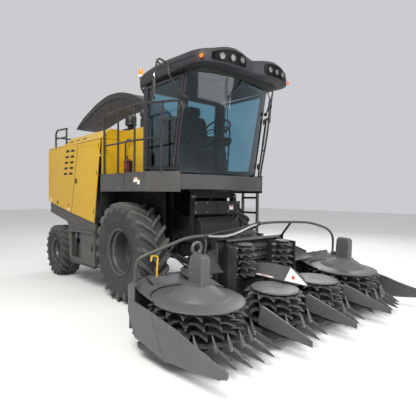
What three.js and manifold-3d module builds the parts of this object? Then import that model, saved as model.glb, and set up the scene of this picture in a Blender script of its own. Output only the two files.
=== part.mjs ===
// Self-propelled forage harvester with a four-drum row-independent header.
// Millimetres, +X forward, +Y to the left, +Z up. The model is laid out about the
// ground point under the front axle and then moved so that the origin is the
// middle of its outline at ground level.
import * as THREE from "three";
import { mergeVertices } from "three/addons/utils/BufferGeometryUtils.js";
import Module from "manifold-3d";

const wasm = await Module();
wasm.setup();

// ---------------------------------------------------------------- dimensions
const NOSE_X = 3450; // tips of the side dividers
const TAIL_X = -4190; // end of the discharge spout
const ORIGIN_X = (NOSE_X + TAIL_X) / 2;
const GAP = 1; // between fixed neighbours

const FRONT = { x: 0, y: 967, r: 802.5, w: 500 };
const REAR = { x: -2773, y: 1017, r: 530, w: 410, kingpin: 780 };
const WHEEL_SIDES = 24;

const SIDE_Y = 1213; // outer face of the yellow side panels
const SKIN = 25; // panel thickness
const DECK_Z = 2065; // platform deck
const DECK_Y = 1190; // platform outer face
const RAIL_Y = 1150; // handrail centre line
const CAB_Y = 840; // outer face of the cab doors
const CAB_REAR = 160;
const PILLAR_LEAN = 0.1665; // forward lean of the A pillars, x per z
const PILLAR_X0 = 1076; // A pillar outer face at z = 2066
const GLASS_BULGE = 190; // forward bow of the windscreen
const ROOF_Z0 = 3505;
const ROOF_Z1 = 3755;

const LIFT = { x: 1120, z: 1000 }; // header lift axis
const CYL = { y: 490, ax: 560, az: 760, bx: 1450, bz: 600 }; // lift cylinder pins
const HEAD = { x: 2380, z: 613, tilt: 3.5 }; // rotor rim plane of the header
const OUTER_ROTOR = { u: 0, v: 1490, r: 548, cone: 517 };
const INNER_ROTOR = { u: 209, v: 438, r: 370, disc: 293 };
const FEED_DRUM = { x: 2032, y: 400, z0: 640, z1: 1080, r: 160 };
const DIVIDER_Y = 2080;
const SNOUTS = [-876, 0, 876];

const TURRET = { x: -420, r: 190, z: 2832 };
const SPOUT_PIVOT = { x: -560, z: 3060 };
const FLAP_PIVOT = { x: -3760, z: 3560 };

// ---------------------------------------------------------------- materials
const mat = (color, roughness, metalness) =>
  new THREE.MeshStandardMaterial({ color, roughness, metalness, flatShading: true });
const YELLOW = mat(0xd9a928, 0.42, 0.1);
const GREY = mat(0x55565a, 0.5, 0.2);
const DARK = mat(0x2d2d30, 0.55, 0.2);
const BLACK = mat(0x19191b, 0.5, 0.2);
const RUBBER = mat(0x2a2927, 0.92, 0);
const RIM = mat(0x4c4d50, 0.5, 0.3);
const STEEL = mat(0x9a9c9f, 0.3, 0.9);
const GLASS = new THREE.MeshStandardMaterial({
  color: 0x5f8f96, roughness: 0.08, metalness: 0, transparent: true, opacity: 0.35,
});
const SEAT = mat(0x1c1d20, 0.9, 0);

// ---------------------------------------------------------------- helpers
function solid(geometry) {
  let g = geometry.index ? geometry.toNonIndexed() : geometry.clone();
  for (const k of Object.keys(g.attributes)) if (k !== "position") g.deleteAttribute(k);
  g = mergeVertices(g, 1e-3);
  const idx = g.index.array, keep = [];
  for (let i = 0; i < idx.length; i += 3) {
    const [a, b, c] = [idx[i], idx[i + 1], idx[i + 2]];
    if (a !== b && b !== c && c !== a) keep.push(a, b, c);
  }
  const make = (tris) =>
    new wasm.Manifold(new wasm.Mesh({
      numProp: 3,
      vertProperties: new Float32Array(g.attributes.position.array),
      triVerts: new Uint32Array(tris),
    }));
  let m = make(keep);
  if (m.volume() < 0) {
    for (let i = 0; i < keep.length; i += 3) [keep[i + 1], keep[i + 2]] = [keep[i + 2], keep[i + 1]];
    m = make(keep);
  }
  return m;
}
function toGeometry(m) {
  const mesh = m.getMesh(), n = mesh.numProp, v = new Float32Array(mesh.numVert * 3);
  for (let i = 0; i < mesh.numVert; i++) v.set(mesh.vertProperties.subarray(i * n, i * n + 3), i * 3);
  const g = new THREE.BufferGeometry()
    .setAttribute("position", new THREE.BufferAttribute(v, 3))
    .setIndex(new THREE.BufferAttribute(new Uint32Array(mesh.triVerts), 1));
  g.computeVertexNormals();
  return g;
}
const join = (...s) => s.flat().reduce((a, b) => a.add(b));
const cut = (a, ...s) => s.flat().reduce((x, b) => x.subtract(b), a);
// The same solid through a matrix.
function moved(m, matrix) {
  return solid(toGeometry(m).applyMatrix4(matrix));
}
const MIRROR = new THREE.Matrix4().makeScale(1, -1, 1);
const mirrored = (m) => moved(m, MIRROR);

function box(x0, x1, y0, y1, z0, z1) {
  const g = new THREE.BoxGeometry(x1 - x0, y1 - y0, z1 - z0);
  g.translate((x0 + x1) / 2, (y0 + y1) / 2, (z0 + z1) / 2);
  return solid(g);
}
const shapeOf = (pts) => new THREE.Shape(pts.map(([a, b]) => new THREE.Vector2(a, b)));
const extruded = (pts, depth) =>
  new THREE.ExtrudeGeometry(Array.isArray(pts) ? shapeOf(pts) : pts, { depth, bevelEnabled: false, curveSegments: 6 });
// Side outline (x, z) between y0 and y1.
function sideways(pts, y0, y1) {
  const g = extruded(pts, y1 - y0);
  g.applyMatrix4(new THREE.Matrix4().makeBasis(new THREE.Vector3(1, 0, 0), new THREE.Vector3(0, 0, 1), new THREE.Vector3(0, -1, 0)));
  g.translate(0, y1, 0);
  return solid(g);
}
// Plan outline (x, y) between z0 and z1.
function upright(pts, z0, z1) {
  const g = extruded(pts, z1 - z0);
  g.translate(0, 0, z0);
  return solid(g);
}
// Front outline (y, z) between x0 and x1.
function lengthways(pts, x0, x1) {
  const g = extruded(pts, x1 - x0);
  g.applyMatrix4(new THREE.Matrix4().makeBasis(new THREE.Vector3(0, 1, 0), new THREE.Vector3(0, 0, 1), new THREE.Vector3(1, 0, 0)));
  g.translate(x0, 0, 0);
  return solid(g);
}
const V = (p) => new THREE.Vector3(...p);
function rod(p, q, r, sides = 10, r2 = r) {
  const a = V(p), b = V(q), d = b.clone().sub(a), len = d.length();
  const g = new THREE.CylinderGeometry(r2, r, len, sides);
  g.translate(0, len / 2, 0);
  g.applyQuaternion(new THREE.Quaternion().setFromUnitVectors(new THREE.Vector3(0, 1, 0), d.normalize()));
  g.translate(...p);
  return solid(g);
}
// A tube along a smooth curve, closed at both ends.
function tube(pts, r, steps, sides = 8) {
  const ring = new THREE.Shape();
  for (let i = 0; i < sides; i++) {
    const t = (i / sides) * 2 * Math.PI;
    i ? ring.lineTo(r * Math.cos(t), r * Math.sin(t)) : ring.moveTo(r * Math.cos(t), r * Math.sin(t));
  }
  const path = new THREE.CatmullRomCurve3(pts.map(V), false, "centripetal");
  return solid(new THREE.ExtrudeGeometry(ring, { steps, extrudePath: path, bevelEnabled: false }));
}
// A turned solid about the Y axis through (x, y, z); out is +1 where the profile's
// second number points to +Y.
function turned(profile, x, y, z, sides, out = 1) {
  const g = new THREE.LatheGeometry(profile.map(([r, a]) => new THREE.Vector2(r, a)), sides, Math.PI / sides);
  if (out < 0) g.applyMatrix4(MIRROR);
  g.translate(x, y, z);
  return solid(g);
}
// A turned solid about the vertical axis.
function turnedUp(profile, x, y, sides) {
  const g = new THREE.LatheGeometry(profile.map(([r, a]) => new THREE.Vector2(r, a)), sides, Math.PI / sides);
  g.rotateX(Math.PI / 2);
  g.translate(x, y, 0);
  return solid(g);
}
const closed = (p) => [...p, p[0]];

const group = new THREE.Group();
group.name = "forage_harvester";
group.position.x = -ORIGIN_X;
function piece(name, m, material) {
  const mesh = new THREE.Mesh(toGeometry(m), material);
  mesh.name = name;
  group.add(mesh);
  return m;
}
// A right-hand piece and its mirror image.
function pair(name, m, material) {
  piece(name + "_R", m, material);
  piece(name + "_L", mirrored(m), material);
}

// ---------------------------------------------------------------- wheels
const k = 1 / Math.cos(Math.PI / WHEEL_SIDES); // flats, not corners, lie at the tyre radius
const frontTyre = closed([
  [352, 195], [378, 203], [590, 250], [735, 246], [FRONT.r * k, 165],
  [FRONT.r * k, -165], [735, -246], [590, -250], [378, -203], [352, -195],
]);
const frontRim = [
  [0, -66], [112, -66], [118, -104], [284, -104], [300, -40], [300, 118], [336, 148],
  [336, 219], [384, 219], [384, 208], [346, 208], [346, -208], [384, -208], [384, -219], [330, -219],
  [330, -125], [0, -125],
];
const rearTyre = closed([
  [234, 156], [254, 163], [390, 205], [478, 202], [REAR.r * k, 132],
  [REAR.r * k, -132], [478, -202], [390, -205], [254, -163], [234, -156],
]);
const rearRim = [
  [0, 0], [82, 0], [86, -34], [196, -34], [200, -20], [204, 66], [224, 84], [224, 178], [257, 178],
  [257, 167], [228, 167], [228, -167], [257, -167], [257, -178], [216, -178], [216, -64], [0, -64],
];
for (const [side, s] of [["R", -1], ["L", 1]]) {
  piece("front_tyre_" + side, turned(frontTyre, FRONT.x, s * FRONT.y, FRONT.r, WHEEL_SIDES, s), RUBBER);
  piece("front_rim_" + side, turned(frontRim, FRONT.x, s * FRONT.y, FRONT.r, 16, s), RIM);
  piece("rear_tyre_" + side, turned(rearTyre, REAR.x, s * REAR.y, REAR.r, WHEEL_SIDES, s), RUBBER);
  piece("rear_rim_" + side, turned(rearRim, REAR.x, s * REAR.y, REAR.r, 16, s), RIM);
}

// ---------------------------------------------------------------- axles
{
  const hub = FRONT.y - 125 - GAP, z = FRONT.r;
  const halves = [-1, 1].flatMap((s) => [
    rod([0, s * 470, z], [0, s * hub, z], 128, 14),
    rod([0, s * (hub - 24), z], [0, s * hub, z], 165, 14),
    box(-95, 95, s > 0 ? 396 : -466, s > 0 ? 466 : -396, z, 999),
  ]);
  piece("front_axle", join(rod([0, -520, z], [0, 520, z], 92, 12), rod([0, -160, z], [0, 160, z], 185, 14), halves), BLACK);

  const x = REAR.x, zr = REAR.r;
  const yokes = [-1, 1].flatMap((s) => {
    const a = (p, q) => (s > 0 ? [p, q] : [-q, -p]);
    return [
      box(x - 60, x + 60, ...a(640, 712), 420, 660),
      box(x - 55, x + 55, ...a(700, 832), 640, 664),
      box(x - 55, x + 55, ...a(700, 832), 416, 440),
    ];
  });
  piece("rear_axle", join(box(x - 62, x + 62, -660, 660, 468, 600), box(x - 75, x + 75, -130, 130, 580, 999), yokes), BLACK);
  const arm = REAR.y - 64 - GAP;
  pair("knuckle", join(
    rod([x, -REAR.kingpin, 446], [x, -REAR.kingpin, 634], 46, 12),
    rod([x, -REAR.kingpin, zr], [x, -arm, zr], 56, 12),
    rod([x, -(arm - 26), zr], [x, -arm, zr], 112, 14),
  ), BLACK);
}

// ---------------------------------------------------------------- main frame
{
  const s2 = (f) => [-1, 1].flatMap((s) => f((p, q) => (s > 0 ? [p, q] : [-q, -p]), s));
  const rails = s2((a) => [
    box(-3060, 1000, ...a(400, 450), 1000, 1180),
    box(-3060, -2980, ...a(400, 450), 1170, 1640), // rear uprights
    box(-3060, -3000, ...a(440, 1182), 1580, 1640), // arms to the rear panels
    box(-2040, -1980, ...a(440, 734), 1030, 1110), // outriggers to the side boxes
    box(-1060, -1000, ...a(440, 734), 1030, 1110),
    box(330, 400, ...a(400, 450), 1170, 1808), // cab posts
    box(900, 960, ...a(400, 450), 1170, 1808),
    box(CYL.ax - 45, CYL.ax + 45, ...a(450, 462), CYL.az - 45, 1100), // cylinder lugs
    box(CYL.ax - 45, CYL.ax + 45, ...a(518, 530), CYL.az - 45, 1100),
    box(CYL.ax - 45, CYL.ax + 45, ...a(445, 530), 1040, 1100),
  ]);
  const cross = [
    box(-3060, -2980, -420, 420, 1010, 1170),
    box(-2850, -2700, -420, 420, 1000, 1170),
    box(-2050, -1970, -420, 420, 1010, 1170),
    box(-1040, -960, -420, 420, 1010, 1170),
    box(900, 960, -420, 420, 1690, 1800),
  ];
  // Skirt panel under the cab's nose.
  const skirt = sideways([[955, 1420], [1034, 1420], [1050, 1440], [1050, 1640], [955, 1640]], -495, 495);
  piece("main_frame", join(cross, rails, skirt), BLACK);

  piece("engine_block", box(-2880, -1720, -380, 380, 1185, 2150), DARK);

  const house = sideways([
    [560, 770], [1000, 790], [1120, 872], [1212, 908], [1250, 1000], [1212, 1092], [1120, 1130],
    [1100, 1290], [1000, 1390], [620, 1400], [300, 1560], [300, 1200], [330, 900],
  ], -385, 385);
  const duct = sideways([
    [620, 1380], [90, 1850], [-180, 2260], [-225, 2500], [-225, 2795], [-615, 2795], [-620, 2200],
    [-330, 1560], [240, 960], [620, 900],
  ], -210, 210);
  piece("chopper_housing", join(house, duct), DARK);
}

// ---------------------------------------------------------------- side boxes and rear arches
{
  const y0 = -1185, y1 = -735;
  const body = cut(
    sideways([[-2120, 1150], [-2035, 490], [-1955, 430], [-880, 430], [-880, 1080], [-1480, 1150]], y0, y1),
    box(-1925, -1500, y0 - 10, -960, 500, 1005), // recess with the filler and filters
  );
  const band = sideways([[-3105, 1548], [-3105, 1330], [-2180, 1180], [-2120, 1130], [-870, 1060], [-870, 1208], [-1890, 1348]], y0, y0 + 40);
  const pipe = rod([-2080, y0 - 12, 1010], [-890, y0 - 12, 1040], 26, 8);
  const filler = join(rod([-1720, -1180, 930], [-1720, -955, 930], 62, 12), box(-1890, -1550, -1100, -955, 505, 760));
  pair("side_box", join(body, band, pipe, filler), GREY);
}

// ---------------------------------------------------------------- body panels
// The seam between the rear panel and the service door, and the door's front edge,
// lean forward.
const SEAM = [[-1880, 1359], [-1553, 2680]];
const DOOR_EDGE = [[-869, 1219], [-640, 2680]];
{
  const t = 6;
  const side = sideways([
    [-3125, 1562], [-3160, 1610], [-3160, 2630], [-3115, 2680], [SEAM[1][0] - t, 2680], [SEAM[0][0] - t, 1359 + 1],
  ], -SIDE_Y, -SIDE_Y + SKIN);
  const back = box(-3160, -3135, -SIDE_Y, -945, 1600, 2640);
  pair("rear_quarter", join(side, back), YELLOW);
  piece("rear_grille", box(-3158, -3128, -944, 944, 1500, 2640), DARK);
  pair("service_door", sideways([
    [SEAM[0][0] + t, 1358], [DOOR_EDGE[0][0], 1219], [DOOR_EDGE[1][0], 2674], [SEAM[1][0] + t, 2674],
  ], -SIDE_Y, -SIDE_Y + SKIN), YELLOW);

  // Upper hood: a chamfered cover over the engine bay, a lower rear deck and the
  // guard rail on it.
  const top = [[-1205, 2686], [-1000, 2876], [1000, 2876], [1205, 2686]];
  const cover = cut(
    lengthways(top, -2420, -646),
    lengthways([[-1172, 2680], [-990, 2850], [990, 2850], [1172, 2680]], -2395, -670),
  );
  const deck = box(-3160, -2405, -1205, 1205, 2686, 2711);
  piece("upper_hood", join(cover, deck), YELLOW);
  const foot = 2711 + GAP;
  piece("rear_guard_rail", join(
    tube([[-3080, -1080, foot], [-3080, -1080, 2760], [-3085, -1080, 2980], [-3050, -1080, 3085], [-2950, -1080, 3110], [-2440, -1080, 3085]], 19, 14),
    tube([[-3080, 1080, foot], [-3080, 1080, 2760], [-3085, 1080, 2980], [-3050, 1080, 3085], [-2950, 1080, 3110], [-2440, 1080, 3085]], 19, 14),
    rod([-2470, -1080, foot], [-2470, -1080, 3095], 19, 8),
    rod([-2470, 1080, foot], [-2470, 1080, 3095], 19, 8),
    rod([-3083, -1080, 2960], [-3083, 1080, 2960], 19, 8),
  ), BLACK);

  // Front hood behind the cab.
  const shell = cut(
    box(-640, 150, -830, 830, 2070, 2826),
    box(-700, 125, -805, 805, 2000, 2801),
  );
  const wings = [-1, 1].map((s) => box(-640, -618, s > 0 ? 820 : -1175, s > 0 ? 1175 : -820, 2072, 2680));
  piece("front_hood", join(shell, wings), YELLOW);
}

// Engine air cleaner on the hood behind the cab.
piece("air_cleaner", join(
  box(-905, -690, -640, -400, 2877, 2935),
  rod([-798, -520, 2930], [-798, -520, 3010], 62, 12),
  rod([-798, -520, 3000], [-798, -520, 3190], 104, 14),
), BLACK);

// ---------------------------------------------------------------- platforms, rails and ladder
{
  // Outer edge, cut off at an angle towards the cab's front corner.
  const plan = [[-650, -DECK_Y], [810, -DECK_Y], [1205, -880], [1205, -864], [-650, -864]];
  const inner = [[-626, -DECK_Y + 24], [802, -DECK_Y + 24], [1160, -884], [1160, -800], [-626, -800]];
  const tray = cut(upright(plan, 1775, DECK_Z), upright(inner, 1700, DECK_Z - 28));
  const deckBehind = box(-584, 155, -870, -833, DECK_Z - 28, DECK_Z - 1);
  const right = join(tray, deckBehind);
  piece("platform_R", right, GREY);

  const ladder = join(
    [395, 765].map((x) => box(x - 12, x + 12, 1222, 1280, 520, 1830)),
    [560, 840, 1120, 1400, 1680].map((z) => box(390, 770, 1226, 1276, z, z + 28)),
    [395, 765].map((x) => box(x - 12, x + 12, 1180, 1240, 1790, 1830)),
  );
  piece("platform_L", join(mirrored(right), ladder), GREY);

  const R = 17, y = -RAIL_Y, top = 3080, mid = 2550, foot = DECK_Z + GAP;
  piece("handrail_R", join(
    tube([[-590, y, foot], [-590, y, 2700], [-590, y, 2960], [-560, y, 3045], [-470, y, top], [-100, y, top], [420, y, top], [700, y + 50, 3070], [1000, -1040, 3050], [1240, -985, 3030], [1345, -965, 2985], [1370, -965, 2895], [1330, -965, 2815], [1230, -985, 2790], [1000, -1040, 2790]], R, 34, 6),
    rod([-100, y, foot], [-100, y, top], R, 6),
    rod([420, y, foot], [420, y, top], R, 6),
    rod([975, -1040, foot], [1000, -1040, 3050], R, 6),
    rod([-590, y, mid], [420, y, mid], R, 6),
    rod([420, y, mid], [985, -1040, mid], R, 6),
  ), BLACK);
  piece("handrail_L", join(
    tube([[-590, -y, foot], [-590, -y, 2700], [-590, -y, 2960], [-560, -y, 3045], [-470, -y, top], [-220, -y, top], [0, -y, top], [90, -y, 3045], [120, -y, 2960], [120, -y, 2700], [120, -y, foot]], R, 26, 6),
    rod([-250, -y, foot], [-250, -y, top], R, 6),
    rod([-590, -y, mid], [120, -y, mid], R, 6),
  ), BLACK);
}

// Grab rail ahead of the left door, fixed to the platform's front corner.
piece("grab_rail_L", join(
  tube([[972, 1040, DECK_Z + GAP], [972, 1040, 2110], [1042, 1038, 2500], [1122, 1034, 2960], [1146, 1022, 3045], [1186, 1002, 3068], [1226, 984, 3045], [1240, 974, 2950], [1165, 966, 2500], [1092, 960, 2110], [1092, 960, DECK_Z + GAP]], 16, 30, 6),
  rod([1046, 1038, 2520], [1168, 966, 2520], 15, 6),
), BLACK);

// ---------------------------------------------------------------- cab
const bow = (y, half, b) => b * (1 - (y / half) ** 2); // forward bow across the width
const bowed = (x, half, b, n = 8) =>
  Array.from({ length: n + 1 }, (_, i) => {
    const y = -half + (2 * half * i) / n;
    return [x + bow(y, half, b), y];
  });
const pillarX = (z) => PILLAR_X0 + PILLAR_LEAN * (z - 2066);
// Everything below leans with the A pillars: a plan outline sheared forward with height.
const lean = (m) =>
  moved(m, new THREE.Matrix4().set(1, 0, PILLAR_LEAN, -PILLAR_LEAN * 2066, 0, 1, 0, 0, 0, 0, 1, 0, 0, 0, 0, 1));
{
  const base = upright([[CAB_REAR, -862], [1206, -862], ...bowed(1206, 862, 205).slice(1, -1), [1206, 862], [CAB_REAR, 862]], 1812, 2028);
  piece("cab_base", base, GREY);

  const z0 = 2029, z1 = ROOF_Z0 - GAP;
  const band = (x, half, b, t) => [...bowed(x, half, b), ...bowed(x - t, half, b - 4).reverse()];
  const sill = lean(upright([...bowed(PILLAR_X0 - 8, 780, GLASS_BULGE - 6), [PILLAR_X0 - 70, 780], ...bowed(PILLAR_X0 - 70, 780, GLASS_BULGE - 20).reverse().slice(1), ].filter((p, i, a) => !i || p[0] !== a[i - 1][0] || p[1] !== a[i - 1][1]), z0, 2088));
  const head = lean(upright([...bowed(PILLAR_X0 - 8, 780, GLASS_BULGE - 6), ...bowed(PILLAR_X0 - 90, 780, GLASS_BULGE - 30).reverse()], 3440, z1));
  const aPillars = [-1, 1].map((s) => lean(upright([[PILLAR_X0 - 66, s * 762], [PILLAR_X0 - 6, s * 762], [PILLAR_X0 - 6, s * 828], [PILLAR_X0 - 66, s * 828]], z0, z1)));
  const cPillars = [-1, 1].map((s) => box(CAB_REAR, 236, s > 0 ? 752 : -838, s > 0 ? 838 : -752, z0, z1));
  const sides = [-1, 1].flatMap((s) => {
    const a = (p, q) => (s > 0 ? [p, q] : [-q, -p]);
    return [
      sideways([[200, z0], [1050, z0], [1050, 2096], [200, 2142]], ...a(756, 794)),
      box(200, 1270, ...a(756, 794), 3450, z1),
    ];
  });
  const rear = cut(box(CAB_REAR, 200, -800, 800, z0, z1), box(100, 300, -690, 690, 2560, 3390));
  piece("cab_frame", join(rear, cPillars, aPillars, sides, sill, head), DARK);
  piece("rear_window", box(172, 184, -689, 689, 2561, 3389), GLASS);
  piece("windshield", lean(upright([...bowed(PILLAR_X0 + 8, 822, GLASS_BULGE), ...bowed(PILLAR_X0 - 3, 822, GLASS_BULGE).reverse()], 2032, ROOF_Z0 - 2)), GLASS);

  // Doors, hinged on the A pillars.
  // The lower edge rises to the rear, because the leaning hinge line lowers it as it swings.
  const zb = 2094, zr = 2140, zt = 3444, f = 48;
  const frontEdge = (z) => pillarX(z) - 76;
  const outline = [[246, zr], [frontEdge(zb), zb], [frontEdge(zt), zt], [246, zt]];
  const hole = [[246 + f, zr + f], [frontEdge(zb + f) - f, zb + f], [frontEdge(zt - f) - f, zt - f], [246 + f, zt - f]];
  pair("cab_door", cut(sideways(outline, -CAB_Y, -800), sideways(hole, -900, -700)), BLACK);
  const pane = [[247 + f, zr + f + 1], [frontEdge(zb + f) - f - 1, zb + f + 1], [frontEdge(zt - f) - f - 1, zt - f - 1], [247 + f, zt - f - 1]];
  pair("door_glass", sideways(pane, -828, -816), GLASS);

  // Roof: wide at the front, with the two lamp pods at its nose.
  const plan = [[40, -800], [120, -858], [700, -905], [1450, -940], [1640, -925], [1740, -860], [1822, -640], [1822, -250], [1790, -120], [1785, 0]];
  const full = [...plan, ...plan.slice(0, -1).reverse().map(([x, y]) => [x, -y])];
  const upper = [[60, -760], [140, -820], [700, -860], [1400, -890], [1600, -860], [1720, -640], [1740, -250], [1700, 0]];
  const fullUp = [...upper, ...upper.slice(0, -1).reverse().map(([x, y]) => [x, -y])];
  piece("cab_roof", join(upright(full, ROOF_Z0, 3690), upright(fullUp, 3680, ROOF_Z1)), DARK);

  // Driver's seat and the steering column, on the cab floor.
  piece("seat", join(
    box(470, 900, -250, 250, 2330, 2500),
    sideways([[440, 2400], [560, 2480], [470, 3090], [330, 3080]], -235, 235),
    rod([680, 0, 2029.5], [680, 0, 2340], 150, 10),
  ), SEAT);
  const wheelC = [1010, 0, 2790], tilt = new THREE.Matrix4().makeRotationY(-0.55);
  const ring = new THREE.LatheGeometry(closed([[200, -14], [228, -14], [228, 14], [200, 14]]).map(([r, a]) => new THREE.Vector2(r, a)), 20);
  ring.rotateX(Math.PI / 2); ring.applyMatrix4(tilt); ring.translate(...wheelC);
  const spoke = new THREE.BoxGeometry(30, 420, 16); spoke.applyMatrix4(tilt); spoke.translate(...wheelC);
  piece("steering_column", join(
    sideways([[1020, 2029.5], [1150, 2029.5], [1130, 2500], [1080, 2520], [1030, 2300]], -70, 70),
    rod([1090, 0, 2450], [1008, 0, 2792], 32, 8), solid(ring), solid(spoke),
  ), DARK);
}

// Mirrors on tube arms from the roof edge and the A pillars.
{
  const arm = (s) => join(
    tube([[1180, -850, 3486], [1170, -930, 3488], [1150, -1000, 3512], [1135, -1120, 3566], [1128, -1180, 3582], [1118, -1212, 3560], [1100, -1218, 3460], [1072, -1218, 3250], [1060, -1218, 3040]].map(([x, y, z]) => [x, -s * y, z]), 15, 22, 6),
    tube([[1124, -1206, 3545], [1185, -1080, 3390], [1280, -862, 3095]].map(([x, y, z]) => [x, -s * y, z]), 13, 22, 6),
    box(1255, 1305, Math.min(s * 846, s * 862), Math.max(s * 846, s * 862), 3080, 3110),
  );
  // The heads are turned: the right one is folded back, the left one faces the driver.
  const head = (x, y, turn) => moved(box(-14, 14, -90, 90, -180, 180), new THREE.Matrix4().makeRotationZ(THREE.MathUtils.degToRad(turn)).setPosition(x, y, 3230));
  piece("mirror_R", join(arm(-1), head(1062, -1236, 55)), BLACK);
  piece("mirror_L", join(arm(1), head(1060, 1202, 38)), BLACK);
}

// ---------------------------------------------------------------- spout
{
  const T = TURRET;
  const collar = turnedUp([[0, T.z], [212, T.z], [212, T.z + 40], [T.r, T.z + 40], [T.r, T.z + 150], [0, T.z + 150]], T.x, 0, 16);
  const neck = sideways([[-610, 2960], [-222, 2960], [-222, 3090], [-300, 3190], [-420, 3235], [-530, 3150], [-580, 3085], [-610, 3030]], -185, 185);
  piece("spout_turret", join(collar, neck), BLACK);

  // The curved chute, open along its underside beyond the bend.
  const outer = [[-500, 3270], [-640, 3370], [-860, 3520], [-1175, 3680], [-1480, 3795], [-1785, 3872], [-2080, 3905], [-2384, 3912], [-2720, 3868], [-3050, 3800], [-3400, 3695], [-3740, 3588]];
  const lower = [[-3760, 3300], [-3400, 3300], [-3050, 3340], [-2600, 3420], [-2170, 3470], [-1800, 3490], [-1490, 3480], [-1180, 3405], [-900, 3280], [-700, 3140], [-640, 3050]];
  const body = sideways([...outer, ...lower], -195, 195);
  const hollow = sideways([
    [-640, 3320], [-880, 3490], [-1190, 3650], [-1490, 3765], [-1790, 3845], [-2080, 3878], [-2380, 3885], [-2715, 3842], [-3045, 3774], [-3395, 3670], [-3800, 3545],
    [-3800, 3200], [-3400, 3250], [-3050, 3300], [-2600, 3390], [-2170, 3430], [-1800, 3450], [-1600, 3452], [-1480, 3515], [-1170, 3440], [-880, 3310], [-660, 3150], [-620, 3200],
  ], -175, 175);
  const cheeks = [-1, 1].map((s) => sideways([[-470, 3000], [-470, 3090], [-500, 3270], [-640, 3370], [-700, 3150], [-640, 3000]], s > 0 ? 190 : -214, s > 0 ? 214 : -190));
  piece("spout", join(cut(body, hollow), cheeks), BLACK);

  piece("spout_flap", join(
    sideways([[-3762, 3588], [-3790, 3596], [-4010, 3640], [-4180, 3618], [TAIL_X, 3600], [-4180, 3590], [-4010, 3612], [-3790, 3566], [-3768, 3560]], -168, 168),
    [-1, 1].map((s) => sideways([[-3770, 3580], [-4010, 3625], [-4185, 3600], [-4140, 3480], [-3960, 3440], [-3800, 3470]], s > 0 ? 150 : -168, s > 0 ? 168 : -150)),
  ), BLACK);
}

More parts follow.
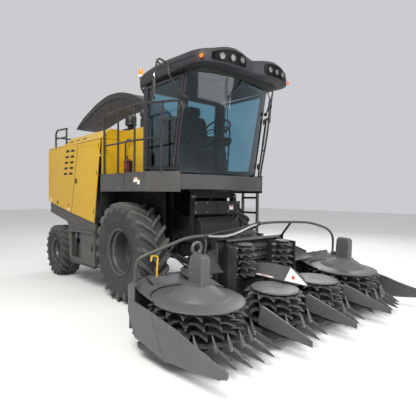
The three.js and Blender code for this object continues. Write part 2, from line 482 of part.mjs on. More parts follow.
// ---------------------------------------------------------------- header
{
  const tilt = new THREE.Matrix4().makeRotationY(THREE.MathUtils.degToRad(HEAD.tilt));
  const place = new THREE.Matrix4().makeTranslation(HEAD.x, 0, HEAD.z).multiply(tilt);
  const set = (m) => moved(m, place);

  // Feeder housing between the chopper and the header, with its lift pin tube.
  piece("feeder_housing", join(
    sideways([[1290, 560], [1290, 1190], [1500, 1200], [1774, 1100], [1774, 560], [1500, 520]], -350, 350),
    rod([CYL.bx, -540, CYL.bz], [CYL.bx, 540, CYL.bz], 20, 12),
    [-1, 1].map((s) => box(CYL.bx - 50, CYL.bx + 50, s > 0 ? 340 : -455, s > 0 ? 455 : -340, CYL.bz - 60, CYL.bz + 60)),
  ), BLACK);

  const floorZ = -428, F = [];
  // Pan under the rotors.
  F.push(set(upright([
    [-610, -1900], [-420, -2057], [-60, -2057], [330, -1960], [500, -1700], [530, -1400], [430, -1050], [560, -900], [600, -840],
    [560, -440], [600, -60], [600, 60], [560, 440], [600, 840], [560, 900], [430, 1050], [530, 1400], [500, 1700],
    [330, 1960], [-60, 2057], [-420, 2057], [-610, 1900],
  ], floorZ, floorZ + 16)));
  // Rear beam, the two inlet wings and the top cross tube.
  F.push(box(1690, 1790, -1900, 1900, 196, 420));
  F.push(box(1690, 1750, -1500, 1500, 410, 540));
  for (const s of [-1, 1]) {
    const f = (pts) => pts.map(([x, y]) => [x, s * y]);
    F.push(upright(f([[1782, 372], [1810, 372], [1850, 600], [2020, 640], [2150, 600], [2158, 618], [2025, 668], [1850, 625]]), 330, 1060));
    F.push(box(1780, 1815, s > 0 ? 370 : -700, s > 0 ? 700 : -370, 400, 1130));
  }
  F.push(box(1780, 1815, -700, 700, 1105, 1130));
  F.push(sideways([[1790, 1110], [2010, 1130], [2075, 1100], [2075, 1110], [2010, 1142], [1790, 1128]], -600, 600));
  // Rotor columns, cones and posts.
  for (const s of [-1, 1]) {
    const o = OUTER_ROTOR, i = INNER_ROTOR;
    F.push(set(turnedUp([[0, floorZ + 4], [72, floorZ + 4], [72, 2], [o.cone, -14], [o.cone, 0], [140, 150], [0, 158]], o.u, s * o.v, 20)));
    F.push(set(sideways([[o.u - 110, 120], [o.u + 110, 120], [o.u + 95, 470], [o.u - 105, 460]], s * o.v - 105, s * o.v + 105)));
    F.push(set(turnedUp([[0, floorZ + 4], [60, floorZ + 4], [60, 0], [i.disc, -8], [i.disc, 6], [0, 14]], i.u, s * i.v, 16)));
  }
  // Crop plate over the inner rotors.
  F.push(set(sideways([[-330, 120], [-300, 134], [230, 30], [230, 6], [180, 6]], -215, 215)));
  // Side dividers.
  for (const s of [-1, 1]) {
    const y0 = s > 0 ? DIVIDER_Y - 25 : -DIVIDER_Y, y1 = y0 + 25;
    F.push(sideways([
      [1885, 745], [1995, 765], [2003, 560], [2300, 530], [2790, 450], [3050, 380], [NOSE_X, 325], [NOSE_X, 265],
      [3350, 225], [3060, 180], [2580, 132], [2020, 205], [1885, 450],
    ], y0, y1));
    F.push(box(1885, 1910, s > 0 ? 1940 : -2060, s > 0 ? 2060 : -1940, 260, 750));
    F.push(box(2080, 2600, s > 0 ? 1960 : -2066, s > 0 ? 2066 : -1960, 108, 165)); // skid
  }
  // Snouts between the rotors: a sharp-backed wedge on a web.
  for (const y of SNOUTS) {
    const p = [[2765, y - 58, 300], [2765, y + 58, 300], [2765, y + 30, 420], [2765, y, 492], [2765, y - 30, 420], [3430, y - 4, 222], [3430, y + 4, 222], [3430, y, 286]];
    const g = new THREE.BufferGeometry().setAttribute("position", new THREE.Float32BufferAttribute(p.flat(), 3));
    g.setIndex([0, 3, 2, 0, 2, 1, 0, 4, 3, 0, 1, 6, 0, 6, 5, 1, 2, 7, 1, 7, 6, 2, 3, 7, 3, 4, 7, 4, 0, 5, 4, 5, 7, 5, 6, 7]);
    F.push(solid(g));
    F.push(sideways([[2780, 150], [2930, 150], [3030, 320], [2780, 330]], y - 9, y + 9));
  }
  // Fingers along the front edge of the pan.
  const finger = (x0, y0, x1, y1) => {
    const z = (x, w) => HEAD.z - (x - HEAD.x) * Math.tan(THREE.MathUtils.degToRad(HEAD.tilt)) + w;
    const w = 26;
    x0 -= 70;
    const p = [[x0, y0 - w, z(x0, floorZ)], [x0, y0 + w, z(x0, floorZ)], [x0, y0, z(x0, floorZ + 58)], [x1, y1 - 3, z(x1, floorZ + 6)], [x1, y1 + 3, z(x1, floorZ + 6)], [x1, y1, z(x1, floorZ + 14)]];
    const g = new THREE.BufferGeometry().setAttribute("position", new THREE.Float32BufferAttribute(p.flat(), 3));
    g.setIndex([0, 2, 1, 3, 4, 5, 0, 1, 4, 0, 4, 3, 1, 2, 5, 1, 5, 4, 2, 0, 3, 2, 3, 5]);
    return solid(g);
  };
  for (const s of [-1, 1]) {
    for (const [x0, y0, x1, y1] of [
      [2700, 1900, 3120, 1860], [2800, 1760, 3190, 1690], [2860, 1600, 3240, 1540], [2870, 1440, 3240, 1370],
      [2860, 1270, 3210, 1190], [2800, 1110, 3150, 1010],
    ]) F.push(finger(x0, s * y0, x1, s * y1));
    for (const [x0, y0, x1, y1] of [[2880, 650, 3200, 640], [2920, 450, 3230, 440], [2880, 240, 3200, 230]]) F.push(finger(x0, s * y0, x1, s * y1));
  }
  piece("header_frame", join(F), GREY);

  // Tube guard over the header's back.
  piece("header_guard", join(
    tube([[1897, -1990, 751], [1900, -1985, 930], [1925, -1930, 1030], [1975, -1700, 1125], [2000, -1400, 1215], [2000, -1070, 1224], [2000, -780, 1200], [2000, -460, 1247], [2000, -80, 1345], [2000, 400, 1345], [2000, 1130, 1308], [1990, 1500, 1230], [1960, 1800, 1120], [1925, 1930, 1030], [1900, 1985, 930], [1897, 1990, 751]], 21, 34, 6),
    [-1, 1].map((s) => rod([1830, s * 640, 1152], [2000, s * 640, 1222 + (s > 0 ? 112 : 0)], 18, 6)),
  ), STEEL);

  // Toothed rotors.
  const toothed = (n, r0, r1, hole, w0, w1) => {
    const shape = new THREE.Shape();
    for (let i = 0; i < n; i++) {
      const a = (i / n) * 2 * Math.PI, d = (2 * Math.PI) / n;
      const P = (r, t) => [r * Math.cos(t), r * Math.sin(t)];
      i ? shape.lineTo(...P(r0, a)) : shape.moveTo(...P(r0, a));
      shape.lineTo(...P(r1, a + 0.52 * d));
      shape.lineTo(...P(r0, a + 0.66 * d));
    }
    return upright(shape, w0, w1);
  };
  for (const [side, s] of [["R", -1], ["L", 1]]) {
    const o = OUTER_ROTOR, i = INNER_ROTOR;
    const at = (m, q) => set(moved(m, new THREE.Matrix4().makeTranslation(q.u, s * q.v, 0)));
    const outer = cut(join(
      turnedUp([[0, -400], [350, -400], [350, -40], [0, -40]], 0, 0, 14),
      toothed(12, 452, 520, 0, -75, -62), toothed(12, 458, 530, 0, -165, -152),
      toothed(12, 462, 540, 0, -255, -242), turnedUp([[0, -352], [o.r, -352], [o.r, -338], [0, -338]], 0, 0, 20),
    ), turnedUp([[0, -500], [84, -500], [84, 100], [0, 100]], 0, 0, 12));
    piece("outer_rotor_" + side, at(outer, o), DARK);
    const inner = cut(join(
      turnedUp([[0, -400], [210, -400], [210, -30], [0, -30]], 0, 0, 12),
      toothed(8, 280, 345, 0, -75, -62), toothed(8, 285, 355, 0, -165, -152),
      toothed(8, 290, 362, 0, -255, -242), turnedUp([[0, -352], [i.r, -352], [i.r, -338], [0, -338]], 0, 0, 16),
    ), turnedUp([[0, -500], [72, -500], [72, 100], [0, 100]], 0, 0, 10));
    piece("inner_rotor_" + side, at(inner, i), DARK);

    const d = FEED_DRUM;
    piece("feed_drum_" + side, moved(join(
      turnedUp([[0, d.z0], [80, d.z0], [80, d.z1], [0, d.z1]], 0, 0, 10),
      [0, 1, 2, 3].map((j) => toothed(6, 120, d.r, 0, d.z0 + 40 + j * 105, d.z0 + 52 + j * 105)),
      turnedUp([[0, d.z1 - 10], [100, d.z1 - 10], [100, d.z1 + 8], [0, d.z1 + 8]], 0, 0, 12),
    ), new THREE.Matrix4().makeTranslation(d.x, s * d.y, 0)), DARK);
  }
}

// ---------------------------------------------------------------- header lift cylinders
{
  const { y, ax, az, bx, bz } = CYL;
  const len = Math.hypot(bx - ax, bz - az);
  const q = new THREE.Quaternion().setFromUnitVectors(new THREE.Vector3(0, 1, 0), new THREE.Vector3(bx - ax, 0, bz - az).normalize());
  const along = (profile, sides = 14) => {
    const g = new THREE.LatheGeometry(profile.map(([r, a]) => new THREE.Vector2(r, a)), sides);
    g.applyQuaternion(q); g.translate(ax, -y, az);
    return solid(g);
  };
  const eye = (x, z, r, w) => rod([x, -y - w, z], [x, -y + w, z], r, 14);
  pair("lift_barrel", join(
    along([[0, 20], [24, 20], [24, 66], [48, 66], [48, 570], [31, 570], [31, 120], [0, 120]]), eye(ax, az, 40, 20),
  ), DARK);
  pair("lift_rod", cut(join(
    along([[0, 300], [24, 300], [24, len - 30], [0, len - 30]], 12), eye(bx, bz, 48, 22),
  ), eye(bx, bz, 29, 60)), STEEL);
}

export default group;
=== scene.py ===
import math
import bpy
import bmesh
from mathutils import Matrix, Vector, noise


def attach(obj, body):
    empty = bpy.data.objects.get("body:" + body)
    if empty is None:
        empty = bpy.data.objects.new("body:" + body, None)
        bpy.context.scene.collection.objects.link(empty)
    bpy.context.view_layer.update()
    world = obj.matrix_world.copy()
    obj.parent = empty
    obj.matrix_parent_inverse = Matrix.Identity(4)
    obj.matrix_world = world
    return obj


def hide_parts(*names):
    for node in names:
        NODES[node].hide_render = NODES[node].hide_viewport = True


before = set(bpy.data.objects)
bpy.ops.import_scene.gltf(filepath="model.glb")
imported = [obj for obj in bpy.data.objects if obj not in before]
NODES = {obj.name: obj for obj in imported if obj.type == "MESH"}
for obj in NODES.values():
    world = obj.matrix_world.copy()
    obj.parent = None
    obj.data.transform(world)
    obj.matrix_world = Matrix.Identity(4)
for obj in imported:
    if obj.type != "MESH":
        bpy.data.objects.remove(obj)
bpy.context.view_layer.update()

OX = 370.0  # the row frame's x is the axle x plus this, in mm
scene = bpy.context.scene

# ------------------------------------------------------------------ camera first
cam_data = bpy.data.cameras.new("camera")
cam = bpy.data.objects.new("camera", cam_data)
scene.collection.objects.link(cam)
scene.camera = cam
cam_data.sensor_width = 36.0
cam_data.lens = 33.66
cam_data.clip_start, cam_data.clip_end = 0.05, 200
yaw, pitch, roll = 2.427, -0.03107, 0.01125
fwd = Vector((math.cos(yaw) * math.cos(pitch), math.sin(yaw) * math.cos(pitch), math.sin(pitch)))
right = fwd.cross(Vector((0, 0, 1))).normalized()
up = right.cross(fwd)
r2 = math.cos(roll) * right + math.sin(roll) * up
u2 = -math.sin(roll) * right + math.cos(roll) * up
cam.matrix_world = Matrix(((r2.x, u2.x, -fwd.x, 6.000), (r2.y, u2.y, -fwd.y, -4.182), (r2.z, u2.z, -fwd.z, 1.720), (0, 0, 0, 1)))


# ------------------------------------------------------------------ materials
def lin(h):
    h = h.lstrip("#")
    out = []
    for i in (0, 2, 4):
        c = int(h[i:i + 2], 16) / 255
        out.append(c / 12.92 if c <= 0.04045 else ((c + 0.055) / 1.055) ** 2.4)
    return tuple(out)


def mul(c, k):
    return tuple(min(1.0, x * k) for x in c)


class Nodes:
    def __init__(self, name):
        self.m = bpy.data.materials.new(name)
        self.m.use_nodes = True
        self.t = self.m.node_tree
        self.t.nodes.clear()
        self.out = self.new("ShaderNodeOutputMaterial")
        self.p = self.new("ShaderNodeBsdfPrincipled")
        self.link(self.p.outputs[0], self.out.inputs[0])
        self.tc = self.new("ShaderNodeTexCoord")

    def new(self, kind, **kw):
        n = self.t.nodes.new(kind)
        for k, v in kw.items():
            setattr(n, k, v)
        return n

    def link(self, a, b):
        self.t.links.new(a, b)

    def noise(self, scale, detail=4.0, rough=0.55, stretch=None):
        n = self.new("ShaderNodeTexNoise")
        n.inputs["Scale"].default_value = scale
        n.inputs["Detail"].default_value = detail
        n.inputs["Roughness"].default_value = rough
        src = self.tc.outputs["Object"]
        if stretch:
            mp = self.new("ShaderNodeMapping")
            mp.inputs["Scale"].default_value = stretch
            self.link(src, mp.inputs[0])
            src = mp.outputs[0]
        self.link(src, n.inputs["Vector"])
        return n.outputs["Fac"]

    def ramp(self, fac, lo, hi, a=0.0, b=1.0):
        n = self.new("ShaderNodeMapRange")
        n.clamp = True
        for k, v in (("From Min", lo), ("From Max", hi), ("To Min", a), ("To Max", b)):
            n.inputs[k].default_value = v
        self.link(fac, n.inputs["Value"])
        return n.outputs["Result"]

    def math(self, op, a, b):
        n = self.new("ShaderNodeMath", operation=op)
        n.use_clamp = op != "MULTIPLY_ADD"
        for i, x in enumerate((a, b)):
            if hasattr(x, "links"):
                self.link(x, n.inputs[i])
            else:
                n.inputs[i].default_value = x
        return n.outputs[0]

    def mix(self, fac, a, b, blend="MIX"):
        n = self.new("ShaderNodeMix", data_type="RGBA", blend_type=blend)
        for sock, x in ((n.inputs[0], fac), (n.inputs[6], a), (n.inputs[7], b)):
            if hasattr(x, "links"):
                self.link(x, sock)
            elif isinstance(x, tuple):
                sock.default_value = (*x[:3], 1)
            else:
                sock.default_value = x
        return n.outputs[2]

    def bump(self, height, strength, distance, normal=None):
        n = self.new("ShaderNodeBump")
        n.inputs["Strength"].default_value = strength
        n.inputs["Distance"].default_value = distance
        self.link(height, n.inputs["Height"])
        if normal is not None:
            self.link(normal, n.inputs["Normal"])
        return n.outputs[0]


DUST = lin("#8d8678")


def surface(name, color, rough=0.45, metal=0.0, vary=0.12, vscale=2.2, dust=0.15, low=0.0, edge_wear_and_highlight=0.0, edge_wear_and_highlight_color=None,
            grain=420.0, grain_h=0.0002, grain_s=0.25, ripple=0.0, coat=0.0, spec=0.5):
    """A painted, cast, plastic or rubber surface: uneven colour, dust on faces that look up and low down, lighter edges
    for wear (on the rotor teeth also a painted highlight), a fine grain.
    """
    n = Nodes(name)
    big = n.noise(vscale, 5.0, 0.6)
    col = n.mix(n.ramp(big, 0.32, 0.68), mul(color, 1 - vary), mul(color, 1 + vary))
    fine = n.noise(vscale * 14, 6.0, 0.7)
    col = n.mix(n.ramp(fine, 0.25, 0.75, 0.0, 0.35), col, mul(color, 0.78))
    rough_out = n.ramp(n.noise(vscale * 5, 5.0, 0.65), 0.25, 0.75, max(0.03, rough - 0.09), min(1, rough + 0.12))
    if dust or low:
        geo = n.new("ShaderNodeNewGeometry")
        sep = n.new("ShaderNodeSeparateXYZ")
        n.link(geo.outputs["Normal"], sep.inputs[0])
        mask = n.math("MULTIPLY", n.ramp(sep.outputs[2], 0.35, 0.95), dust)
        if low:
            ps = n.new("ShaderNodeSeparateXYZ")
            n.link(n.tc.outputs["Object"], ps.inputs[0])
            mask = n.math("ADD", mask, n.ramp(ps.outputs[2], 1.35, 0.15, 0.0, low))
        mask = n.math("MULTIPLY", mask, n.ramp(n.noise(3.1, 7.0, 0.7), 0.3, 0.66, 0.25, 1.0))
        col = n.mix(mask, col, DUST)
        rough_out = n.math("ADD", rough_out, n.math("MULTIPLY", mask, 0.45))
    # lighter edges from a bevel mask: wear, and on the rotor teeth also a painted highlight along the edges
    if edge_wear_and_highlight:
        bev = n.new("ShaderNodeBevel")
        bev.samples = 3
        bev.inputs["Radius"].default_value = 0.006
        geo2 = n.new("ShaderNodeNewGeometry")
        dot = n.new("ShaderNodeVectorMath", operation="DOT_PRODUCT")
        n.link(bev.outputs[0], dot.inputs[0])
        n.link(geo2.outputs["Normal"], dot.inputs[1])
        edge = n.ramp(dot.outputs["Value"], 0.985, 0.90)
        edge = n.math("MULTIPLY", edge, n.ramp(n.noise(26, 5.0, 0.7), 0.42, 0.6, 0.0, edge_wear_and_highlight))
        col = n.mix(edge, col, edge_wear_and_highlight_color or lin("#8a8782"))
    n.link(col, n.p.inputs["Base Color"])
    n.link(rough_out, n.p.inputs["Roughness"])
    n.p.inputs["Metallic"].default_value = metal
    n.p.inputs["Specular IOR Level"].default_value = spec
    if coat:
        n.p.inputs["Coat Weight"].default_value = coat
        n.p.inputs["Coat Roughness"].default_value = 0.12
    h = n.bump(n.noise(grain, 2.0, 0.5), grain_s, grain_h)
    if ripple:
        h = n.bump(n.noise(9.0, 2.0, 0.5), ripple, 0.004, h)
    n.link(h, n.p.inputs["Normal"])
    return n.m


MAT = {}
MAT["yellow"] = surface("yellow_panel_paint", (0.545, 0.325, 0.012), 0.40, vary=0.04, vscale=0.9, dust=0.045, low=0.05, ripple=0.10, coat=0.12, spec=0.32, grain=900, grain_h=0.00008)
MAT["grey"] = surface("grey_frame_paint", lin("#444240"), 0.48, vary=0.10, dust=0.14, low=0.08, edge_wear_and_highlight=0.25, grain=700, grain_h=0.00012)
MAT["head"] = surface("grey_header_paint", lin("#4e4f51"), 0.40, vary=0.12, dust=0.06, low=0.03, edge_wear_and_highlight=0.6, edge_wear_and_highlight_color=lin("#a3a19b"), grain=600, grain_h=0.00014)
MAT["skirt"] = surface("cab_skirt_paint", lin("#393837"), 0.48, vary=0.10, dust=0.12, low=0.06, edge_wear_and_highlight=0.25, grain=700, grain_h=0.00012)
MAT["dark"] = surface("dark_frame_paint", lin("#2d2d2f"), 0.5, vary=0.14, dust=0.12, low=0.06, edge_wear_and_highlight=0.35, edge_wear_and_highlight_color=lin("#66635d"), grain=500, grain_h=0.00016)
# near-black, darker than the black paint and without dust; used on the parts under the body, inside the wheels and
# under the cones
MAT["near_black"] = surface("underbody_black", lin("#151516"), 0.66, vary=0.2, dust=0.0, low=0.0, edge_wear_and_highlight=0.2, edge_wear_and_highlight_color=lin("#3c3a38"), grain=420, grain_h=0.0003)
MAT["black"] = surface("black_tube_paint", lin("#242426"), 0.36, vary=0.15, dust=0.10, edge_wear_and_highlight=0.25, edge_wear_and_highlight_color=lin("#5d5a56"), grain=600, grain_h=0.0001)
MAT["cabframe"] = surface("cab_pillar_paint", lin("#2b2a2d"), 0.40, vary=0.08, dust=0.04, grain=800, grain_h=0.0001)
MAT["roof"] = surface("roof_moulding", lin("#333135"), 0.50, vary=0.07, vscale=1.4, dust=0.03, grain=750, grain_h=0.00018, grain_s=0.4, spec=0.28)
MAT["gloss"] = surface("gloss_black_lamp_panel", lin("#070708"), 0.30, vary=0.05, dust=0.0, coat=0.0, spec=0.10, grain=300, grain_h=0.00002, grain_s=0.05)
MAT["tyre"] = surface("tyre_rubber", lin("#383939"), 0.80, vary=0.16, vscale=3.5, dust=0.06, low=0.05, grain=260, grain_h=0.0006, grain_s=0.5, spec=0.3)
MAT["tread"] = surface("tyre_tread_rubber", lin("#515250"), 0.86, vary=0.2, vscale=5.0, dust=0.12, low=0.03, edge_wear_and_highlight=0.7, edge_wear_and_highlight_color=lin("#84857f"), grain=190, grain_h=0.0009, grain_s=0.6, spec=0.25)
MAT["rim"] = surface("wheel_rim_paint", lin("#46464a"), 0.36, metal=0.25, vary=0.12, dust=0.06, low=0.07, edge_wear_and_highlight=0.5, edge_wear_and_highlight_color=lin("#8f8c86"), grain=500, grain_h=0.0001)
MAT["steel"] = surface("worn_bare_steel", lin("#a9a9ab"), 0.30, metal=0.9, vary=0.12, vscale=7, dust=0.10, grain=300, grain_h=0.0001)
MAT["bolt"] = surface("plated_bolt", lin("#8d8b86"), 0.38, metal=0.85, vary=0.2, vscale=30, dust=0.08, grain=600, grain_h=0.00005)
# the teeth's light edges are wear and a painted highlight along each tooth's edge
MAT["blade"] = surface("rotor_tooth_steel", lin("#47484b"), 0.38, metal=0.25, vary=0.22, vscale=9, dust=0.03, edge_wear_and_highlight=1.0, edge_wear_and_highlight_color=lin("#b0aea8"), grain=420, grain_h=0.00015)
MAT["iron"] = surface("cast_engine_iron", lin("#3b3a38"), 0.6, metal=0.35, vary=0.25, vscale=6, dust=0.2, edge_wear_and_highlight=0.3, grain=160, grain_h=0.0009, grain_s=0.6)
MAT["plastic"] = surface("moulded_black_plastic", lin("#18181a"), 0.5, vary=0.08, dust=0.04, grain=520, grain_h=0.0004, grain_s=0.6)
MAT["hose"] = surface("hose_rubber", lin("#1f1f20"), 0.55, vary=0.15, vscale=12, dust=0.12, grain=700, grain_h=0.0003, grain_s=0.5)
MAT["seal"] = surface("window_seal_rubber", lin("#171718"), 0.65, vary=0.08, dust=0.05, grain=600, grain_h=0.0002)
MAT["white"] = surface("white_blank_plate", lin("#e6e4de"), 0.4, vary=0.05, dust=0.12, grain=500, grain_h=0.00005)
MAT["red"] = surface("red_reflector", lin("#b23a2e"), 0.3, vary=0.08, dust=0.05, grain=900, grain_h=0.0002)
MAT["oldred"] = surface("extinguisher_red", lin("#6e2a1c"), 0.4, vary=0.15, dust=0.1, grain=500, grain_h=0.0001)
MAT["lemon"] = surface("yellow_blank_plate", lin("#d9c23a"), 0.42, vary=0.06, dust=0.1, grain=500, grain_h=0.00005)
MAT["handle"] = surface("yellow_handle_paint", lin("#d9a514"), 0.4, vary=0.1, dust=0.08, edge_wear_and_highlight=0.5, grain=500, grain_h=0.0001)
MAT["blue"] = surface("blue_filler_cap", lin("#3f6fa6"), 0.35, vary=0.1, dust=0.08, grain=500, grain_h=0.0002)
MAT["mesh"] = surface("dark_screen_wire", lin("#2a2a2b"), 0.5, metal=0.4, vary=0.2, dust=0.25, grain=400, grain_h=0.0002)
# the headliner is coloured a dark green-grey, a painted shade of the cab's inside
MAT["shaded_lining"] = surface("cab_lining", lin("#30372f"), 0.85, vary=0.06, dust=0.0, grain=900, grain_h=0.0006, grain_s=0.6)
MAT["trim"] = surface("cab_inner_trim", lin("#1f2021"), 0.75, vary=0.06, dust=0.02, grain=900, grain_h=0.0005, grain_s=0.6)
# dark brown that paints the shade inside the spout and the brownish light in it
MAT["spout_inside_painted_light"] = surface("spout_inner_plate", lin("#2c2622"), 0.55, vary=0.25, vscale=4, dust=0.05, edge_wear_and_highlight=0.4, edge_wear_and_highlight_color=lin("#5c5048"), grain=300, grain_h=0.0003)
MAT["carpet"] = surface("cab_floor_mat", lin("#2a2a2b"), 0.9, vary=0.12, vscale=20, dust=0.25, grain=300, grain_h=0.001, grain_s=0.7)


def fabric():
    n = Nodes("seat_weave")
    wave = []
    for axis, s in (("X", 950.0), ("Y", 950.0)):
        w = n.new("ShaderNodeTexWave", wave_type="BANDS", bands_direction=axis)
        w.inputs["Scale"].default_value = s / 6.283
        w.inputs["Distortion"].default_value = 0.6
        n.link(n.tc.outputs["Object"], w.inputs["Vector"])
        wave.append(w.outputs["Fac"])
    h = n.math("MULTIPLY", wave[0], wave[1])
    col = n.mix(n.ramp(n.noise(60, 5.0, 0.7), 0.3, 0.7), lin("#17181b"), lin("#26282c"))
    col = n.mix(n.ramp(h, 0.0, 0.6, 0.0, 0.5), col, lin("#17181a"))
    n.link(col, n.p.inputs["Base Color"])
    n.p.inputs["Roughness"].default_value = 0.92
    n.p.inputs["Sheen Weight"].default_value = 0.25
    n.p.inputs["Sheen Roughness"].default_value = 0.5
    n.link(n.bump(h, 0.5, 0.0006), n.p.inputs["Normal"])
    return n.m


def glass(name, color, rough=0.02, alpha=None, emit=None, trans=1.0):
    n = Nodes(name)
    smear = n.noise(2.6, 6.0, 0.7)
    n.link(n.mix(n.ramp(smear, 0.3, 0.7), mul(color, 0.94), color), n.p.inputs["Base Color"])
    n.link(n.ramp(smear, 0.35, 0.75, rough, rough + 0.05), n.p.inputs["Roughness"])
    n.p.inputs["Transmission Weight"].default_value = trans
    n.p.inputs["IOR"].default_value = 1.45
    if emit:
        n.p.inputs["Emission Color"].default_value = (*emit, 1)
        n.p.inputs["Emission Strength"].default_value = 0.25
    return n.m


MAT["fabric"] = fabric()
MAT["glass"] = glass("tinted_cab_glass", (0.38, 0.60, 0.70))
MAT["lens"] = glass("lamp_lens", (0.95, 0.97, 1.0), 0.04)
MAT["amber"] = glass("amber_lens", (1.0, 0.32, 0.02), 0.10, emit=(0.9, 0.22, 0.0), trans=0.6)
MAT["chrome"] = surface("lamp_reflector", lin("#dfe2e6"), 0.12, metal=1.0, vary=0.03, dust=0.0, grain=300, grain_h=0.00002, grain_s=0.05)
MAT["mirror"] = surface("mirror_glass", lin("#cfd6dc"), 0.04, metal=1.0, vary=0.02, dust=0.0, grain=100, grain_h=0.00001, grain_s=0.02)

SLOT = {"yellow_paint": "yellow", "grey_paint": "grey", "dark_paint": "dark", "black_paint": "black", "tyre_rubber": "tyre",
        "rim_paint": "rim", "bare_steel": "steel", "tinted_glass": "glass", "seat_fabric": "fabric", "engine_iron": "iron", "roof_shell": "roof"}


# ------------------------------------------------------------------ mesh maker, in axle millimetres
I4 = Matrix.Identity(4)


def T(x, y, z):
    return Matrix.Translation((x, y, z))


def R(deg, axis):
    return Matrix.Rotation(math.radians(deg), 4, axis)


def frame_to(p, d, roll_up=(0, 0, 1)):
    """A matrix whose Z axis runs along d at p."""
    d = Vector(d).normalized()
    x = Vector(roll_up).cross(d)
    if x.length < 1e-4:
        x = Vector((1, 0, 0)).cross(d)
        if x.length < 1e-4:
            x = Vector((0, 1, 0)).cross(d)
    x.normalize()
    y = d.cross(x)
    return Matrix(((x.x, y.x, d.x, p[0]), (x.y, y.y, d.y, p[1]), (x.z, y.z, d.z, p[2]), (0, 0, 0, 1)))


def spline(pts, steps, closed=False):
    """Catmull-Rom through the points, steps per span."""
    P = [Vector(p) for p in pts]
    n = len(P)
    out = []
    spans = n if closed else n - 1
    for i in range(spans):
        p0 = P[(i - 1) % n] if closed or i > 0 else P[0] * 2 - P[1]
        p1, p2 = P[i], P[(i + 1) % n]
        p3 = P[(i + 2) % n] if closed or i < n - 2 else P[-1] * 2 - P[-2]
        t0 = 0.0
        t1 = t0 + max(1e-6, (p1 - p0).length) ** 0.5
        t2 = t1 + max(1e-6, (p2 - p1).length) ** 0.5
        t3 = t2 + max(1e-6, (p3 - p2).length) ** 0.5
        for k in range(steps):
            t = t1 + (t2 - t1) * k / steps
            a1 = p0 * ((t1 - t) / (t1 - t0)) + p1 * ((t - t0) / (t1 - t0))
            a2 = p1 * ((t2 - t) / (t2 - t1)) + p2 * ((t - t1) / (t2 - t1))
            a3 = p2 * ((t3 - t) / (t3 - t2)) + p3 * ((t - t2) / (t3 - t2))
            b1 = a1 * ((t2 - t) / (t2 - t0)) + a2 * ((t - t0) / (t2 - t0))
            b2 = a2 * ((t3 - t) / (t3 - t1)) + a3 * ((t - t1) / (t3 - t1))
            out.append(b1 * ((t2 - t) / (t2 - t1)) + b2 * ((t - t1) / (t2 - t1)))
    if not closed:
        out.append(P[-1].copy())
    return out


